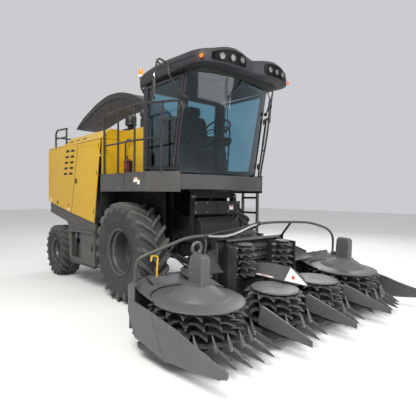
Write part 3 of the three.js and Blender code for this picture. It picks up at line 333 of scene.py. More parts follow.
class Maker:
    def __init__(self, mat="dark"):
        self.v, self.f, self.mi, self.mats, self.cur = [], [], [], [], 0
        self.T = I4.copy()
        self.use(mat)

    def use(self, mat):
        m = MAT[mat]
        if m not in self.mats:
            self.mats.append(m)
        self.cur = self.mats.index(m)
        return self

    def add(self, vs, fs):
        b = len(self.v)
        self.v += [self.T @ Vector(p) for p in vs]
        self.f += [[i + b for i in f] for f in fs]
        self.mi += [self.cur] * len(fs)
        return self

    def box(self, x0, x1, y0, y1, z0, z1):
        v = [(x, y, z) for x in (x0, x1) for y in (y0, y1) for z in (z0, z1)]
        return self.add(v, [(0, 1, 3, 2), (4, 6, 7, 5), (0, 4, 5, 1), (2, 3, 7, 6), (0, 2, 6, 4), (1, 5, 7, 3)])

    def prism(self, pts, plane, a, b):
        """Outline in 'xz' (pushed along y), 'xy' (along z) or 'yz' (along x)."""
        def at(p, h):
            return {"xz": (p[0], h, p[1]), "xy": (p[0], p[1], h), "yz": (h, p[0], p[1])}[plane]
        n = len(pts)
        v = [at(p, a) for p in pts] + [at(p, b) for p in pts]
        return self.add(v, [list(range(n))[::-1], list(range(n, 2 * n))] + [(i, (i + 1) % n, n + (i + 1) % n, n + i) for i in range(n)])

    def lathe(self, prof, n, at=I4, close=False):
        """Profile of (radius, height) about at's Z axis."""
        v, rings = [], []
        for r, h in prof:
            if abs(r) < 1e-9:
                rings.append([len(v)])
                v.append(at @ Vector((0, 0, h)))
            else:
                rings.append(list(range(len(v), len(v) + n)))
                v += [at @ Vector((r * math.cos(2 * math.pi * i / n), r * math.sin(2 * math.pi * i / n), h)) for i in range(n)]
        f = []
        pairs = list(zip(rings, rings[1:])) + ([(rings[-1], rings[0])] if close else [])
        for a, b in pairs:
            if len(a) == 1 and len(b) == 1:
                continue
            for i in range(n):
                j = (i + 1) % n
                if len(a) == 1:
                    f.append((a[0], b[j], b[i]))
                elif len(b) == 1:
                    f.append((a[i], a[j], b[0]))
                else:
                    f.append((a[i], a[j], b[j], b[i]))
        return self.add(v, f)

    def tube(self, pts, r, sides=10, closed=False, flat=1.0):
        """Sweep along a polyline. r is a number or one per point."""
        P = [Vector(p) for p in pts]
        n = len(P)
        rr = r if isinstance(r, (list, tuple)) else [r] * n
        tang = []
        for i in range(n):
            a = P[(i - 1) % n] if closed or i > 0 else P[i]
            b = P[(i + 1) % n] if closed or i < n - 1 else P[i]
            tang.append((b - a).normalized())
        u = Vector((0, 0, 1)).cross(tang[0])
        if u.length < 1e-3:
            u = Vector((1, 0, 0)).cross(tang[0])
        u.normalize()
        v, f = [], []
        for i in range(n):
            if i:
                u = (u - tang[i] * u.dot(tang[i])).normalized()
            w = tang[i].cross(u)
            for k in range(sides):
                a = 2 * math.pi * k / sides
                v.append(P[i] + rr[i] * (math.cos(a) * u + flat * math.sin(a) * w))
        last = n if closed else n - 1
        for i in range(last):
            for k in range(sides):
                k2 = (k + 1) % sides
                a, b = i * sides, ((i + 1) % n) * sides
                f.append((a + k, a + k2, b + k2, b + k))
        if not closed:
            f += [list(range(sides))[::-1], list(range((n - 1) * sides, n * sides))]
        return self.add(v, f)

    def pipe(self, pts, r, sides=12, steps=6):
        return self.tube(spline(pts, steps), r, sides)

    def rod(self, p, q, r, sides=12):
        return self.tube([p, q], r, sides)

    def bolt(self, p, d, r=9, h=7, washer=True):
        at = frame_to(p, d)
        if washer:
            self.lathe([(0, -0.5), (r * 1.55, -0.5), (r * 1.55, 1.8), (0, 1.8)], 14, at)
        return self.lathe([(0, 1), (r, 1), (r, h * 0.8), (r * 0.86, h), (0, h)], 6, at)

    def weld(self, pts, r=4):
        """A weld bead along the points."""
        P = spline(pts, 3) if len(pts) > 2 else [Vector(pts[0]).lerp(Vector(pts[1]), k / 12) for k in range(13)]
        return self.tube(P, [r * (1 + 0.18 * math.sin(2.3 * i)) for i in range(len(P))], 6)

    def done(self, name, body, bevel=0.0, angle=32, segs=2, replaces=(), subsurf=0):
        me = bpy.data.meshes.new(name)
        me.from_pydata([((p.x + OX) / 1000, p.y / 1000, p.z / 1000) for p in self.v], [], self.f)
        for m in self.mats:
            me.materials.append(m)
        me.polygons.foreach_set("material_index", self.mi)
        bm = bmesh.new()
        bm.from_mesh(me)
        bmesh.ops.remove_doubles(bm, verts=bm.verts, dist=1e-6)
        bmesh.ops.recalc_face_normals(bm, faces=bm.faces)
        bm.to_mesh(me)
        bm.free()
        me.polygons.foreach_set("use_smooth", [True] * len(me.polygons))
        me.set_sharp_from_angle(angle=math.radians(angle))
        ob = bpy.data.objects.new(name, me)
        scene.collection.objects.link(ob)
        if bevel:
            b = ob.modifiers.new("edges", "BEVEL")
            b.width, b.segments, b.limit_method, b.angle_limit = bevel, segs, "ANGLE", math.radians(angle)
            b.harden_normals = True
            b.use_clamp_overlap = True
        if subsurf:
            s = ob.modifiers.new("smooth", "SUBSURF")
            s.levels = s.render_levels = subsurf
        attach(ob, body)
        if replaces:
            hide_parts(*replaces)
        return ob


SIDES = (("R", -1, "right"), ("L", 1, "left"))


# ------------------------------------------------------------------ CAD nodes: finish and soft edges
def smooth_group(deg=33):
    g = bpy.data.node_groups.new("smooth_by_angle", "GeometryNodeTree")
    g.interface.new_socket("Geometry", in_out="INPUT", socket_type="NodeSocketGeometry")
    g.interface.new_socket("Geometry", in_out="OUTPUT", socket_type="NodeSocketGeometry")
    gi, go = g.nodes.new("NodeGroupInput"), g.nodes.new("NodeGroupOutput")
    a = g.nodes.new("GeometryNodeSetShadeSmooth")
    a.domain = "FACE"
    b = g.nodes.new("GeometryNodeSetShadeSmooth")
    b.domain = "EDGE"
    ang = g.nodes.new("GeometryNodeInputMeshEdgeAngle")
    cmp = g.nodes.new("FunctionNodeCompare")
    cmp.data_type, cmp.operation = "FLOAT", "GREATER_THAN"
    cmp.inputs["B"].default_value = math.radians(deg)
    b.inputs["Shade Smooth"].default_value = False
    g.links.new(gi.outputs[0], a.inputs["Geometry"])
    g.links.new(a.outputs[0], b.inputs["Geometry"])
    g.links.new(ang.outputs["Unsigned Angle"], cmp.inputs["A"])
    g.links.new(cmp.outputs[0], b.inputs["Selection"])
    g.links.new(b.outputs[0], go.inputs[0])
    return g


SMOOTH = smooth_group()
EDGE = {"rear_quarter": 0.007, "service_door": 0.006, "upper_hood": 0.010, "front_hood": 0.010, "cab_base": 0.008, "platform": 0.006,
        "cab_frame": 0.006, "cab_door": 0.005, "windshield": 0.002, "door_glass": 0.001, "rear_window": 0.001, "side_box": 0.008,
        "main_frame": 0.005, "engine_block": 0.02, "chopper_housing": 0.008, "feeder_housing": 0.008, "rear_grille": 0.004}
REPAINT = {"cab_base": "skirt", "cab_frame": "cabframe", "cab_door_R": "cabframe", "cab_door_L": "cabframe", "header_frame": "head", "front_axle": "near_black",
           "main_frame": "near_black", "feeder_housing": "near_black", "chopper_housing": "near_black", "spout": "cabframe", "spout_flap": "cabframe", "spout_turret": "dark",
           "lift_barrel_R": "black", "lift_barrel_L": "black"}
for name, ob in NODES.items():
    key = REPAINT.get(name)
    for s in ob.material_slots:
        base = (s.material.name if s.material else "grey_paint").split(".")[0]
        s.material = MAT[key or SLOT.get(base, "grey")]
    w = ob.modifiers.new("weld", "WELD")
    w.merge_threshold = 0.00005
    sm = ob.modifiers.new("smooth", "NODES")
    sm.node_group = SMOOTH
    width = next((v for k, v in EDGE.items() if name.startswith(k)), 0.003)
    b = ob.modifiers.new("edges", "BEVEL")
    b.width, b.segments, b.limit_method, b.angle_limit = width, 2, "ANGLE", math.radians(33)
    b.use_clamp_overlap = True
    wn = ob.modifiers.new("normals", "WEIGHTED_NORMAL")
    wn.keep_sharp = True

# ------------------------------------------------------------------ tyres and rims
def wheel(side, s, x, y, z, R0, half, bead_r, bead_y, lugs, lug_h, tread_half, twist, lw, body, name, rim_prof, bolts, bolt_r, bolt_h, hub, rim_seg=64):
    # local: Z along the wheel's axis, pointing outwards
    at = Matrix(((1, 0, 0, x), (0, 0, float(s), y), (0, 1, 0, z), (0, 0, 0, 1)))
    k = Maker("tyre")
    Rt = R0 - lug_h
    w = tread_half
    crown = [(Rt, 0), (Rt - 2, w * 0.35), (Rt - 9, w * 0.7), (Rt - 24, w * 0.93), (Rt - 44, w * 1.0)]
    wall = [(Rt - 90, half * 0.985), (bead_r + (Rt - bead_r) * 0.62, half), (bead_r + (Rt - bead_r) * 0.38, half * 0.965), (bead_r + (Rt - bead_r) * 0.20, half * 0.90),
            (bead_r + 34, bead_y + 8), (bead_r + 18, bead_y + 2), (bead_r + 15, bead_y + 1), (bead_r + 12, bead_y + 4), (bead_r + 4, bead_y), (bead_r - 6, bead_y - 6)]
    prof = crown + wall
    full = [(r, -h) for r, h in reversed(prof)] + prof[1:]
    inner = [(bead_r - 6, bead_y - 22), (bead_r + 20, bead_y - 26), (bead_r + 60, bead_y + 10), (Rt - 60, half * 0.86), (Rt - 34, 0)]
    back = inner + [(r, -h) for r, h in reversed(inner[:-1])]
    k.lathe(full + back, 96, at, close=True)
    # rings moulded on the wall
    for f in (0.30, 0.72):
        rr = bead_r + (Rt - bead_r) * f
        hh = half * (0.945 if f < 0.5 else 0.997)
        k.lathe([(rr - 4, hh - 3), (rr - 2, hh + 2.5), (rr + 2, hh + 2.5), (rr + 4, hh - 3)], 96, at, close=True)
    # lugs
    k.use("tread")
    def tread_r(a):
        a = abs(a)
        pts = [(0, Rt), (w * 0.35, Rt - 2), (w * 0.7, Rt - 9), (w * 0.93, Rt - 24), (w * 1.0, Rt - 44), (half * 0.985, Rt - 90)]
        for (a0, r0), (a1, r1) in zip(pts, pts[1:]):
            if a <= a1:
                return r0 + (r1 - r0) * (a - a0) / max(1e-6, a1 - a0)
        return pts[-1][1]
    for i in range(lugs):
        for hs in (-1, 1):
            t0 = 2 * math.pi * (i + (0.5 if hs > 0 else 0.0)) / lugs
            vs = []
            N = 9
            for j in range(N):
                q = j / (N - 1)
                a = -w * 0.06 + q * (w * 1.02 + w * 0.06)  # across the tread
                lead = -s * twist * (q ** 0.82)  # around the tyre
                wid = lw * (0.82 + 0.35 * q)
                rt = R0 if q < 0.86 else R0 - (q - 0.86) / 0.14 * lug_h * 0.30
                rb = tread_r(a) - 6
                for (dt, rad) in ((-wid * 0.62, rb), (-wid * 0.40, rt - 2.5), (-wid * 0.33, rt), (wid * 0.33, rt), (wid * 0.40, rt - 2.5), (wid * 0.62, rb)):
                    ang = t0 + lead + dt / R0
                    vs.append(at @ Vector((rad * math.cos(ang), rad * math.sin(ang), hs * a)))
            fs = []
            for j in range(N - 1):
                for c in range(6):
                    c2 = (c + 1) % 6
                    fs.append((j * 6 + c, j * 6 + c2, (j + 1) * 6 + c2, (j + 1) * 6 + c))
            fs += [list(range(6)), list(range((N - 1) * 6, N * 6))]
            k.add(vs, fs)
            # the lug's foot running down the shoulder
            a0 = w * 1.0
            vs = []
            for j in range(4):
                q = j / 3
                a = a0 + (half * 0.992 - a0) * q
                rb = Rt - 30 - 88 * q
                lead = -s * twist * (1.0 + 0.10 * q)
                wid = lw * (1.15 - 0.35 * q)
                th = 26 * (1 - q) + 2
                for dt, ra, aa in ((-wid * 0.6, rb - 8, a - 8), (-wid * 0.46, rb + 34 * (1 - q), a + th * 0.55), (wid * 0.46, rb + 34 * (1 - q), a + th * 0.55), (wid * 0.6, rb - 8, a - 8)):
                    ang = t0 + lead + dt / R0
                    aa = min(aa, half + 1)
                    vs.append(at @ Vector((ra * math.cos(ang), ra * math.sin(ang), hs * aa)))
            fs = []
            for j in range(3):
                for c in range(4):
                    c2 = (c + 1) % 4
                    fs.append((j * 4 + c, j * 4 + c2, (j + 1) * 4 + c2, (j + 1) * 4 + c))
            fs += [list(range(4)), list(range(12, 16))]
            k.add(vs, fs)
    k.done(f"{name}_tyre_tread_{side}", body, angle=38, replaces=(f"{name}_tyre_{side}",))
    # rim
    k = Maker("rim")
    k.lathe(rim_prof, rim_seg, at, close=False)
    k.use("bolt")
    for i in range(bolts):
        a = 2 * math.pi * i / bolts
        p = at @ Vector((bolt_r * math.cos(a), bolt_r * math.sin(a), bolt_h))
        d = (at.to_3x3() @ Vector((0, 0, 1)))
        k.bolt(p, d, 15 if R0 > 700 else 11, 20 if R0 > 700 else 14)
    k.use("rim")
    k.lathe(hub, 40, at)
    # valve stem
    k.use("seal")
    p = at @ Vector((rim_prof[4][0] - 26, 0, rim_prof[4][1] + 12))
    k.rod(p, p + Vector((0, s * 42, 0)), 6, 8)
    k.done(f"{name}_rim_disc_{side}", body, bevel=0.0025, angle=28, replaces=(f"{name}_rim_{side}",))


FR = [(0, -98), (150, -98), (186, -102), (262, -104), (296, -92), (306, -70), (310, -30), (312, 40), (316, 100), (322, 126), (344, 146), (350, 158), (352, 188),
      (356, 204), (372, 214), (382, 220), (386, 218), (386, 211), (374, 207), (360, 198), (348, 200), (345, 150), (336, 140), (345, 60), (345, -60), (336, -140), (345, -150), (348, -200), (372, -207), (386, -212), (384, -219),
      (366, -212), (338, -196), (330, -150), (326, -126), (0, -124)]
RR = [(0, -20), (96, -20), (120, -24), (176, -28), (196, -22), (204, -4), (206, 50), (212, 74), (226, 92), (230, 104), (231, 150), (236, 164), (248, 172), (256, 178), (259, 176), (259, 169),
      (248, 166), (234, 160), (229, 158), (228, 100), (220, 60), (227, -60), (228, -158), (248, -166), (259, -170), (257, -178), (240, -170), (222, -158), (216, -120), (212, -66), (0, -64)]
for side, s, word in SIDES:
    wheel(side, s, 0, s * 967, 802.5, 802.5, 250, 372, 200, 22, 52, 236, 0.31, 66, f"front_wheel_{side}", "front", FR, 10, 215, -100,
          [(0, -60), (72, -60), (84, -66), (112, -68), (118, -74), (122, -100)])
    wheel(side, s, -2773, s * 1017, 530, 530, 205, 250, 160, 20, 32, 190, 0.36, 48, f"rear_wheel_{side}", "rear", RR, 8, 128, -22,
          [(0, 6), (58, 6), (68, 0), (72, -22)])

# ------------------------------------------------------------------ header, in its own tilted frame (u forward, v left, w up)
H = T(2380, 0, 613) @ R(3.5, "Y")
FLOOR = -428


def hz(x, w):
    return 613 - (x - 2380) * math.tan(math.radians(3.5)) + w


k = Maker("dark")
k.T = H
pan = [(-610, -1900), (-420, -2050), (-60, -2050), (330, -1955), (500, -1700), (530, -1400), (430, -1050), (560, -900), (600, -840), (560, -440), (600, -60)]
pan = pan + [(u, -v) for u, v in reversed(pan)]
k.prism(pan, "xy", FLOOR, FLOOR + 16)
for a, b in zip(pan, pan[1:]):  # a folded lip along the front edge
    if a[0] > 300 and b[0] > 300:
        k.prism([(a[0], a[1]), (b[0], b[1]), (b[0] - 6, b[1]), (a[0] - 6, a[1])], "xy", FLOOR - 22, FLOOR + 2)
k.T = I4
k.use("head")
k.box(1690, 1790, -1900, 1900, 196, 420)
k.box(1690, 1750, -1500, 1500, 410, 540)
for y in (-1880, -1480, -1100, -720, 720, 1100, 1480, 1880):  # ribs on the beam
    k.box(1792, 1800, y - 5, y + 5, 200, 416)
    k.box(1640, 1692, y - 5, y + 5, 230, 400)
k.use("dark")
for s in (-1, 1):
    # inlet cowl round the feed drum
    wall = spline([(1786, 372, 0), (1806, 440, 0), (1838, 540, 0), (1900, 612, 0), (1970, 636, 0), (2040, 640, 0), (2090, 628, 0)], 5)
    wall = [(p.x, s * p.y) for p in wall]
    off = []
    for i, p in enumerate(wall):
        q0, q1 = Vector(wall[max(0, i - 1)]), Vector(wall[min(len(wall) - 1, i + 1)])
        d = (q1 - q0).normalized()
        off.append((p[0] + d.y * -7 * -s, p[1] + d.x * 7 * -s))
    k.prism(wall + off[::-1], "xy", 332, 1060)
    inn = []
    for i, p in enumerate(wall):
        q0, q1 = Vector(wall[max(0, i - 1)]), Vector(wall[min(len(wall) - 1, i + 1)])
        d = (q1 - q0).normalized()
        inn.append((p[0] + d.y * 30 * -s * -1, p[1] - d.x * 30 * s))
    k.use("head").prism(wall + inn[::-1], "xy", 1054, 1062)
    k.use("dark")
    k.box(2084, 2096, s * 628 - 8, s * 628 + 8, 334, 1058)
    # the board behind it with a folded frame
    y0, y1 = sorted((s * 370, s * 700))
    k.box(1784, 1790, y0, y1, 402, 1128)
    for a, b in ((y0, y0 + 22), (y1 - 22, y1), ((y0 + y1) / 2 - 5, (y0 + y1) / 2 + 5)):
        k.box(1788, 1812, a, b, 404, 1126)
    k.box(1788, 1815, y0, y1, 1104, 1128)
    k.box(1788, 1812, y0, y1, 402, 422)
    # curved sheet from the inlet outwards, over the back of the rotor
    rows = []
    for j in range(15):
        q = j / 14
        y = 702 + 610 * q
        zt = 1010 - 190 * q ** 1.2
        rows.append([(1812 + 6 * q + (2020 - 60 * q - 1812) * (e ** 1.8), s * (y + 55 * e * (1 - q)), zt - (zt - 742) * (1 - (1 - e) ** 1.6)) for e in [i / 9 for i in range(10)]])
    vs, fs = [], []
    for r_ in rows:
        vs += r_
    for r_ in rows:
        vs += [(p[0] - 5, p[1], p[2] - 4) for p in r_]
    n = 150
    for j in range(14):
        for i in range(9):
            a = j * 10 + i
            fs.append((a, a + 1, a + 11, a + 10))
            fs.append((n + a, n + a + 10, n + a + 11, n + a + 1))
    ring = [i for i in range(10)] + [10 * j + 9 for j in range(1, 15)] + [140 + i for i in range(8, -1, -1)] + [10 * j for j in range(13, 0, -1)]
    for a, b in zip(ring, ring[1:] + ring[:1]):
        fs.append((a, n + a, n + b, b))
    k.add(vs, fs)
    k.tube([rows[j][0] for j in range(15)], 7, 8)
    k.use("head")
    k.box(1806, 1826, min(s * 696, s * 708), max(s * 696, s * 708), 720, 1015)
    k.use("dark")
k.box(1790, 1815, -700, 700, 1105, 1130)
k.prism([(1790, 1112), (1846, 1120), (1872, 1104), (1872, 1110), (1848, 1127), (1790, 1126)], "xz", -560, 560)
for y in (-520, -260, 0, 260, 520):
    k.bolt((1822, y, 1126), (0, 0, 1), 9, 7)
# feed rolls in the mouth
k.use("blade")
for z in (565, 700, 850, 985):
    at = frame_to((1738, -335, z), (0, 1, 0))
    prof = []
    k.lathe([(0, 0), (62, 0), (62, 670), (0, 670)], 18, at)
    for i in range(9):
        a = 2 * math.pi * i / 9 + z * 0.01
        c, sn = math.cos(a), math.sin(a)
        p = [(1738 + 58 * c - 5 * sn, z + 58 * sn + 5 * c), (1738 + 80 * c - 3 * sn, z + 80 * sn + 3 * c), (1738 + 80 * c + 3 * sn, z + 80 * sn - 3 * c), (1738 + 58 * c + 5 * sn, z + 58 * sn - 5 * c)]
        for j in range(6):
            k.prism(p, "xz", -325 + j * 110, -240 + j * 110)
k.use("dark")
for s in (-1, 1):
    y0, y1 = sorted((s * 338, s * 368))
    k.box(1776, 1800, y0, y1, 404, 1104)
k.done("header_beam_and_inlet", "header", bevel=0.003, replaces=())

# cones, posts, discs
k = Maker("head")
k.T = H
for s in (-1, 1):
    at = T(0, s * 1490, 0)
    k.lathe([(0, FLOOR + 4), (72, FLOOR + 4), (72, -28), (430, -26), (511, -24), (517, -19), (519, -12), (517, -5), (508, 0), (420, 13), (352, 24), (338, 27), (332, 31), (326, 39), (240, 92), (180, 128), (152, 145), (140, 150), (120, 154), (0, 156)], 96, at)
    k.box(-128, 128, s * 1490 - 84, s * 1490 + 84, 146, 160)
    # post: a folded box that narrows upwards, with a capped, chamfered head
    lv = [(118, -110, 110, 62), (400, -106, 98, 60), (438, -104, 94, 58), (472, -80, 66, 44)]
    vs = []
    for w, a, b, h in lv:
        vs += [(a, s * 1490 - h, w), (b, s * 1490 - h, w), (b, s * 1490 + h, w), (a, s * 1490 + h, w)]
    fs = [(3, 2, 1, 0), (12, 13, 14, 15)]
    for i in range(3):
        for j in range(4):
            a, b = i * 4 + j, i * 4 + (j + 1) % 4
            fs.append((a, b, b + 4, a + 4))
    k.add(vs, fs)
    k.box(-70, 30, s * 1490 - 66, s * 1490 - 60, 290, 372)  # a cover on the outside
    for w in (170, 250):
        for a in (-80, 80):
            k.bolt((a, s * 1490 - 61, w), (0, -1, 0), 8, 6)
            k.bolt((a, s * 1490 + 61, w), (0, 1, 0), 8, 6)
    for w in (190, 400):
        for v in (-40, 40):
            k.bolt((105 - 0.035 * (w - 118), s * 1490 + v, w), (1, 0, 0), 8, 6)
    # lifting eye on the head of the right post
    if s < 0:
        ring = [(-60, s * 1490 - 4 + 62 * math.cos(a), 532 + 62 * math.sin(a)) for a in [2 * math.pi * i / 28 for i in range(28)]]
        k.tube(ring, 19, 8, closed=True, flat=0.7)
        k.box(-80, -40, s * 1490 - 52, s * 1490 + 44, 456, 486)
    # inner disc
    at = T(209, s * 438, 0)
    k.lathe([(0, FLOOR + 4), (60, FLOOR + 4), (60, -16), (284, -14), (291, -11), (294, -4), (293, 3), (288, 7), (278, 9), (120, 13), (0, 14)], 80, at)
    for i in range(6):
        a = math.radians(60 * i + 15)
        k.bolt((209 + 46 * math.cos(a), s * 438 + 46 * math.sin(a), 13.5), (0, 0, 1), 9, 6)
k.T = I4
k.done("rotor_cones_and_posts", "header", bevel=0.004, angle=30, replaces=())

# crest over the inner discs, with its blank marking
k = Maker("head")
A_, B_, C_, D_, E_ = (2120, 0, 802), (2490, 0, 792), (2050, -212, 652), (2545, -212, 648), (2765, 0, 588)
C2, D2 = (2050, 212, 652), (2545, 212, 648)
F_ = (1850, -205, 700)
F2, G_ = (1850, 205, 700), (1850, 0, 760)
top = [A_, B_, C_, D_, E_, C2, D2, F_, F2, G_]
faces = [(0, 1, 3, 2), (1, 4, 3), (0, 5, 6, 1), (1, 6, 4), (9, 0, 2, 7), (9, 8, 5, 0)]
vs = top + [(p[0], p[1], p[2] - 6) for p in top]
fs = faces + [tuple(10 + i for i in reversed(f)) for f in faces]
edge = [7, 2, 3, 4, 6, 5, 8, 9]
for a, b in zip(edge, edge[1:] + edge[:1]):
    fs.append((a, b, b + 10, a + 10))
k.add(vs, fs)
k.box(1800, 1856, -200, 200, 640, 700)
k.use("dark")
for s in (-1, 1):
    k.rod((2080, s * 150, 640), (1800, s * 150, 520), 14)
k.use("white")


def panel(kk, pts, off=2.0, th=1.5):
    """A thin blank plate a little above the face through pts."""
    P = [Vector(p) for p in pts]
    nrm = (P[1] - P[0]).cross(P[2] - P[0]).normalized()
    vs = [p + nrm * off for p in P] + [p + nrm * (off + th) for p in P]
    n = len(P)
    kk.add(vs, [list(range(n))[::-1], list(range(n, 2 * n))] + [(i, (i + 1) % n, n + (i + 1) % n, n + i) for i in range(n)])


def lerp3(a, b, c, x, y):
    return tuple(a[i] + (b[i] - a[i]) * x + (c[i] - a[i]) * y for i in range(3))


panel(k, [lerp3(B_, D_, E_, 0.03, 0.02), lerp3(B_, D_, E_, 0.95, 0.02), lerp3(B_, D_, E_, 0.03, 0.94)], 1.2)
panel(k, [lerp3(C_, D_, A_, 0.02, 0.03), lerp3(C_, D_, A_, 0.62, 0.03), lerp3(C_, D_, A_, 0.62, 0.10), lerp3(C_, D_, A_, 0.02, 0.12)], 1.2)
k.use("red")
panel(k, [lerp3(B_, D_, E_, 0.30, 0.22), lerp3(B_, D_, E_, 0.52, 0.22), lerp3(B_, D_, E_, 0.44, 0.38), lerp3(B_, D_, E_, 0.26, 0.36)], 3.0, 0.8)
panel(k, [lerp3(C_, D_, A_, 0.20, 0.045), lerp3(C_, D_, A_, 0.42, 0.045), lerp3(C_, D_, A_, 0.42, 0.075), lerp3(C_, D_, A_, 0.20, 0.085)], 3.0, 0.8)
k.done("crop_crest", "header", bevel=0.0015, angle=20)

# cover plates behind the cones
for side, s, word in SIDES:
    k = Maker("head")
    cx, cy, rr = 2384, 1490, 524
    arc = []
    for i in range(25):
        a = math.radians(122 + (262 - 122) * i / 24)  # from the inner side round the back to the outer side
        arc.append((cx + rr * math.cos(a), cy + rr * math.sin(a) * 1.0))
    arc = [(x, y) for x, y in arc if 900 < y < 2035]
    arc = sorted(set((round(x, 1), round(y, 1)) for x, y in [(cx + rr * math.cos(math.radians(d)), cy + rr * math.sin(math.radians(d))) for d in range(100, 261, 6)]), key=lambda p: p[1])
    back = [(1800, y) for _, y in arc]
    def zof(x, y):
        return 786 - (x - 1800) * 0.235 - max(0, (y - 1780)) * 0.22 * max(0.0, 1 - (x - 1800) / 500)
    vs, fs = [], []
    M = 9
    for (xa, ya), (xb, yb) in zip(back, arc):
        for j in range(M):
            q = j / (M - 1)
            x, y = xa + (xb - xa) * q, ya + (yb - ya) * q
            rim = hz(x, 0) + 12
            zq = rim + max(0.0, 778 - max(0, y - 1780) * 0.2 - rim) * (1 - q) ** 1.6
            vs.append((x, s * y, zq))
    nn = len(vs)
    vs += [(x, y, z - 6) for x, y, z in vs]
    cols = len(arc)
    for i in range(cols - 1):
        for j in range(M - 1):
            a = i * M + j
            fs.append((a, a + 1, a + M + 1, a + M))
            fs.append((nn + a, nn + a + M, nn + a + M + 1, nn + a + 1))
    ring = list(range(M)) + [i * M + M - 1 for i in range(1, cols)] + [(cols - 1) * M + j for j in range(M - 2, -1, -1)] + [i * M for i in range(cols - 2, 0, -1)]
    for a, b in zip(ring, ring[1:] + ring[:1]):
        fs.append((a, nn + a, nn + b, b))
    k.add(vs, fs)
    inner_edge = [vs[i * M + M - 1] for i in range(cols)]
    k.use("near_black").tube([(x, y, z - 9) for x, y, z in inner_edge], 8, 8)
    k.use("head")
    k.box(1796, 1806, min(s * 960, s * 1960), max(s * 960, s * 1960), 420, 786)
    for y in (1000, 1250, 1500, 1750, 1950):
        k.bolt((1822, s * y, zof(1822, y) + 1), (0, 0, 1), 9, 7)
    k.use("dark")
    for y in (1120, 1400, 1690, 1900):
        k.box(1690, 1800, min(s * y - 4, s * y + 4), max(s * y - 4, s * y + 4), 416, 770)
    # yellow handle of the parking stand
    if s < 0:
        k.use("handle")
        k.tube(spline([(1950, -1824, 1042 - 60), (1950, -1810, 1040), (1950, -1760, 1034), (1950, -1736, 1020), (1950, -1740, 940), (1950, -1745, 800)], 5), 11, 10)
        k.use("dark")
    k.done(f"rotor_cover_{side}", "header", bevel=0.0015, angle=30)

# dividers, skids, snouts and fingers
for side, s, word in SIDES:
    k = Maker("head")
    out = [(1885, 745), (1995, 765), (2003, 560), (2300, 530), (2790, 450), (3050, 380), (3448, 322), (3448, 268), (3350, 225), (3060, 180), (2580, 132), (2020, 205), (1885, 450)]
    y1, y0 = s * 2073, s * 2053
    k.prism(out, "xz", min(y0, y1), max(y0, y1))
    # rolled top edge and a pressed fold
    k.tube(spline([(2008, s * 2061, 566), (2150, s * 2061, 548), (2300, s * 2061, 532), (2550, s * 2061, 492), (2790, s * 2061, 452), (3050, s * 2061, 382), (3440, s * 2063, 322)], 5), [17] * 25 + [17, 15, 13, 11, 9, 7], 10)
    k.prism([(2320, 520), (2334, 517), (2560, 138), (2546, 138)], "xz", *sorted((s * 2071, s * 2078)))
    k.prism([(1888, 452), (1990, 758), (1980, 764), (1888, 744)], "xz", *sorted((s * 2072, s * 2077)))
    # end box and inner fold
    k.box(1885, 1910, min(s * 1942, s * 2060), max(s * 1942, s * 2060), 262, 748)
    k.box(1890, 1990, min(s * 2000, s * 2062), max(s * 2000, s * 2062), 742, 752)
    k.use("dark")
    k.prism([(2070, 168), (2090, 112), (2570, 104), (2640, 120), (2660, 150), (2560, 170)], "xz", min(s * 1955, s * 2070), max(s * 1955, s * 2070))
    for x in (2130, 2350, 2540):
        k.bolt((x, s * 2071, 140), (0, s, 0), 8, 6)
    k.use("head")
    for x, z in ((1930, 500), (1930, 620), (1930, 710), (2100, 470), (2100, 300)):
        k.bolt((x, s * 2073, z), (0, s, 0), 9, 5)
    # tapering nose of the divider
    k.tube([(2900, s * 2060, 168), (3100, s * 2061, 192), (3300, s * 2062, 224), (3440, s * 2062, 262)], [13, 13, 12, 8], 8)
    k.done(f"divider_skin_{side}", "header", bevel=0.003, angle=25)

k = Maker("head")
for y in (-876, 0, 876):
    # folded snout: two flanks and a narrow back
    sec = lambda x, w, wt, zb, zt, zm: [(x, y - w, zb), (x, y + w, zb), (x, y + w * 0.82, zm), (x, y + wt, zt), (x, y - wt, zt), (x, y - w * 0.82, zm)]
    S = [sec(2765, 58, 16, 300, 490, 395), sec(2800, 59, 16, 292, 486, 392), sec(3080, 36, 11, 258, 400, 330), sec(3300, 17, 6, 232, 330, 282), sec(3432, 5, 3, 220, 284, 250)]
    vs, fs = [], [(5, 4, 3, 2, 1, 0), tuple(range(24, 30))]
    for r_ in S:
        vs += r_
    for i in range(4):
        for j in range(6):
            a, b = i * 6 + j, i * 6 + (j + 1) % 6
            fs.append((a, b, b + 6, a + 6))
    k.use("head").add(vs, fs)
    k.use("dark")
    k.prism([(2780, 150), (2930, 150), (3030, 320), (2780, 330)], "xz", y - 9, y + 9)
    k.rod((2800, y, 200), (3290, y, 244), 13)
    k.use("head")
    for x in (2810, 2880):
        for d in (-1, 1):
            k.bolt((x, y + d * 56, 330), (0, d, 0), 7, 5)
k.done("snouts", "header", bevel=0.0025, angle=20)

k = Maker("blade")


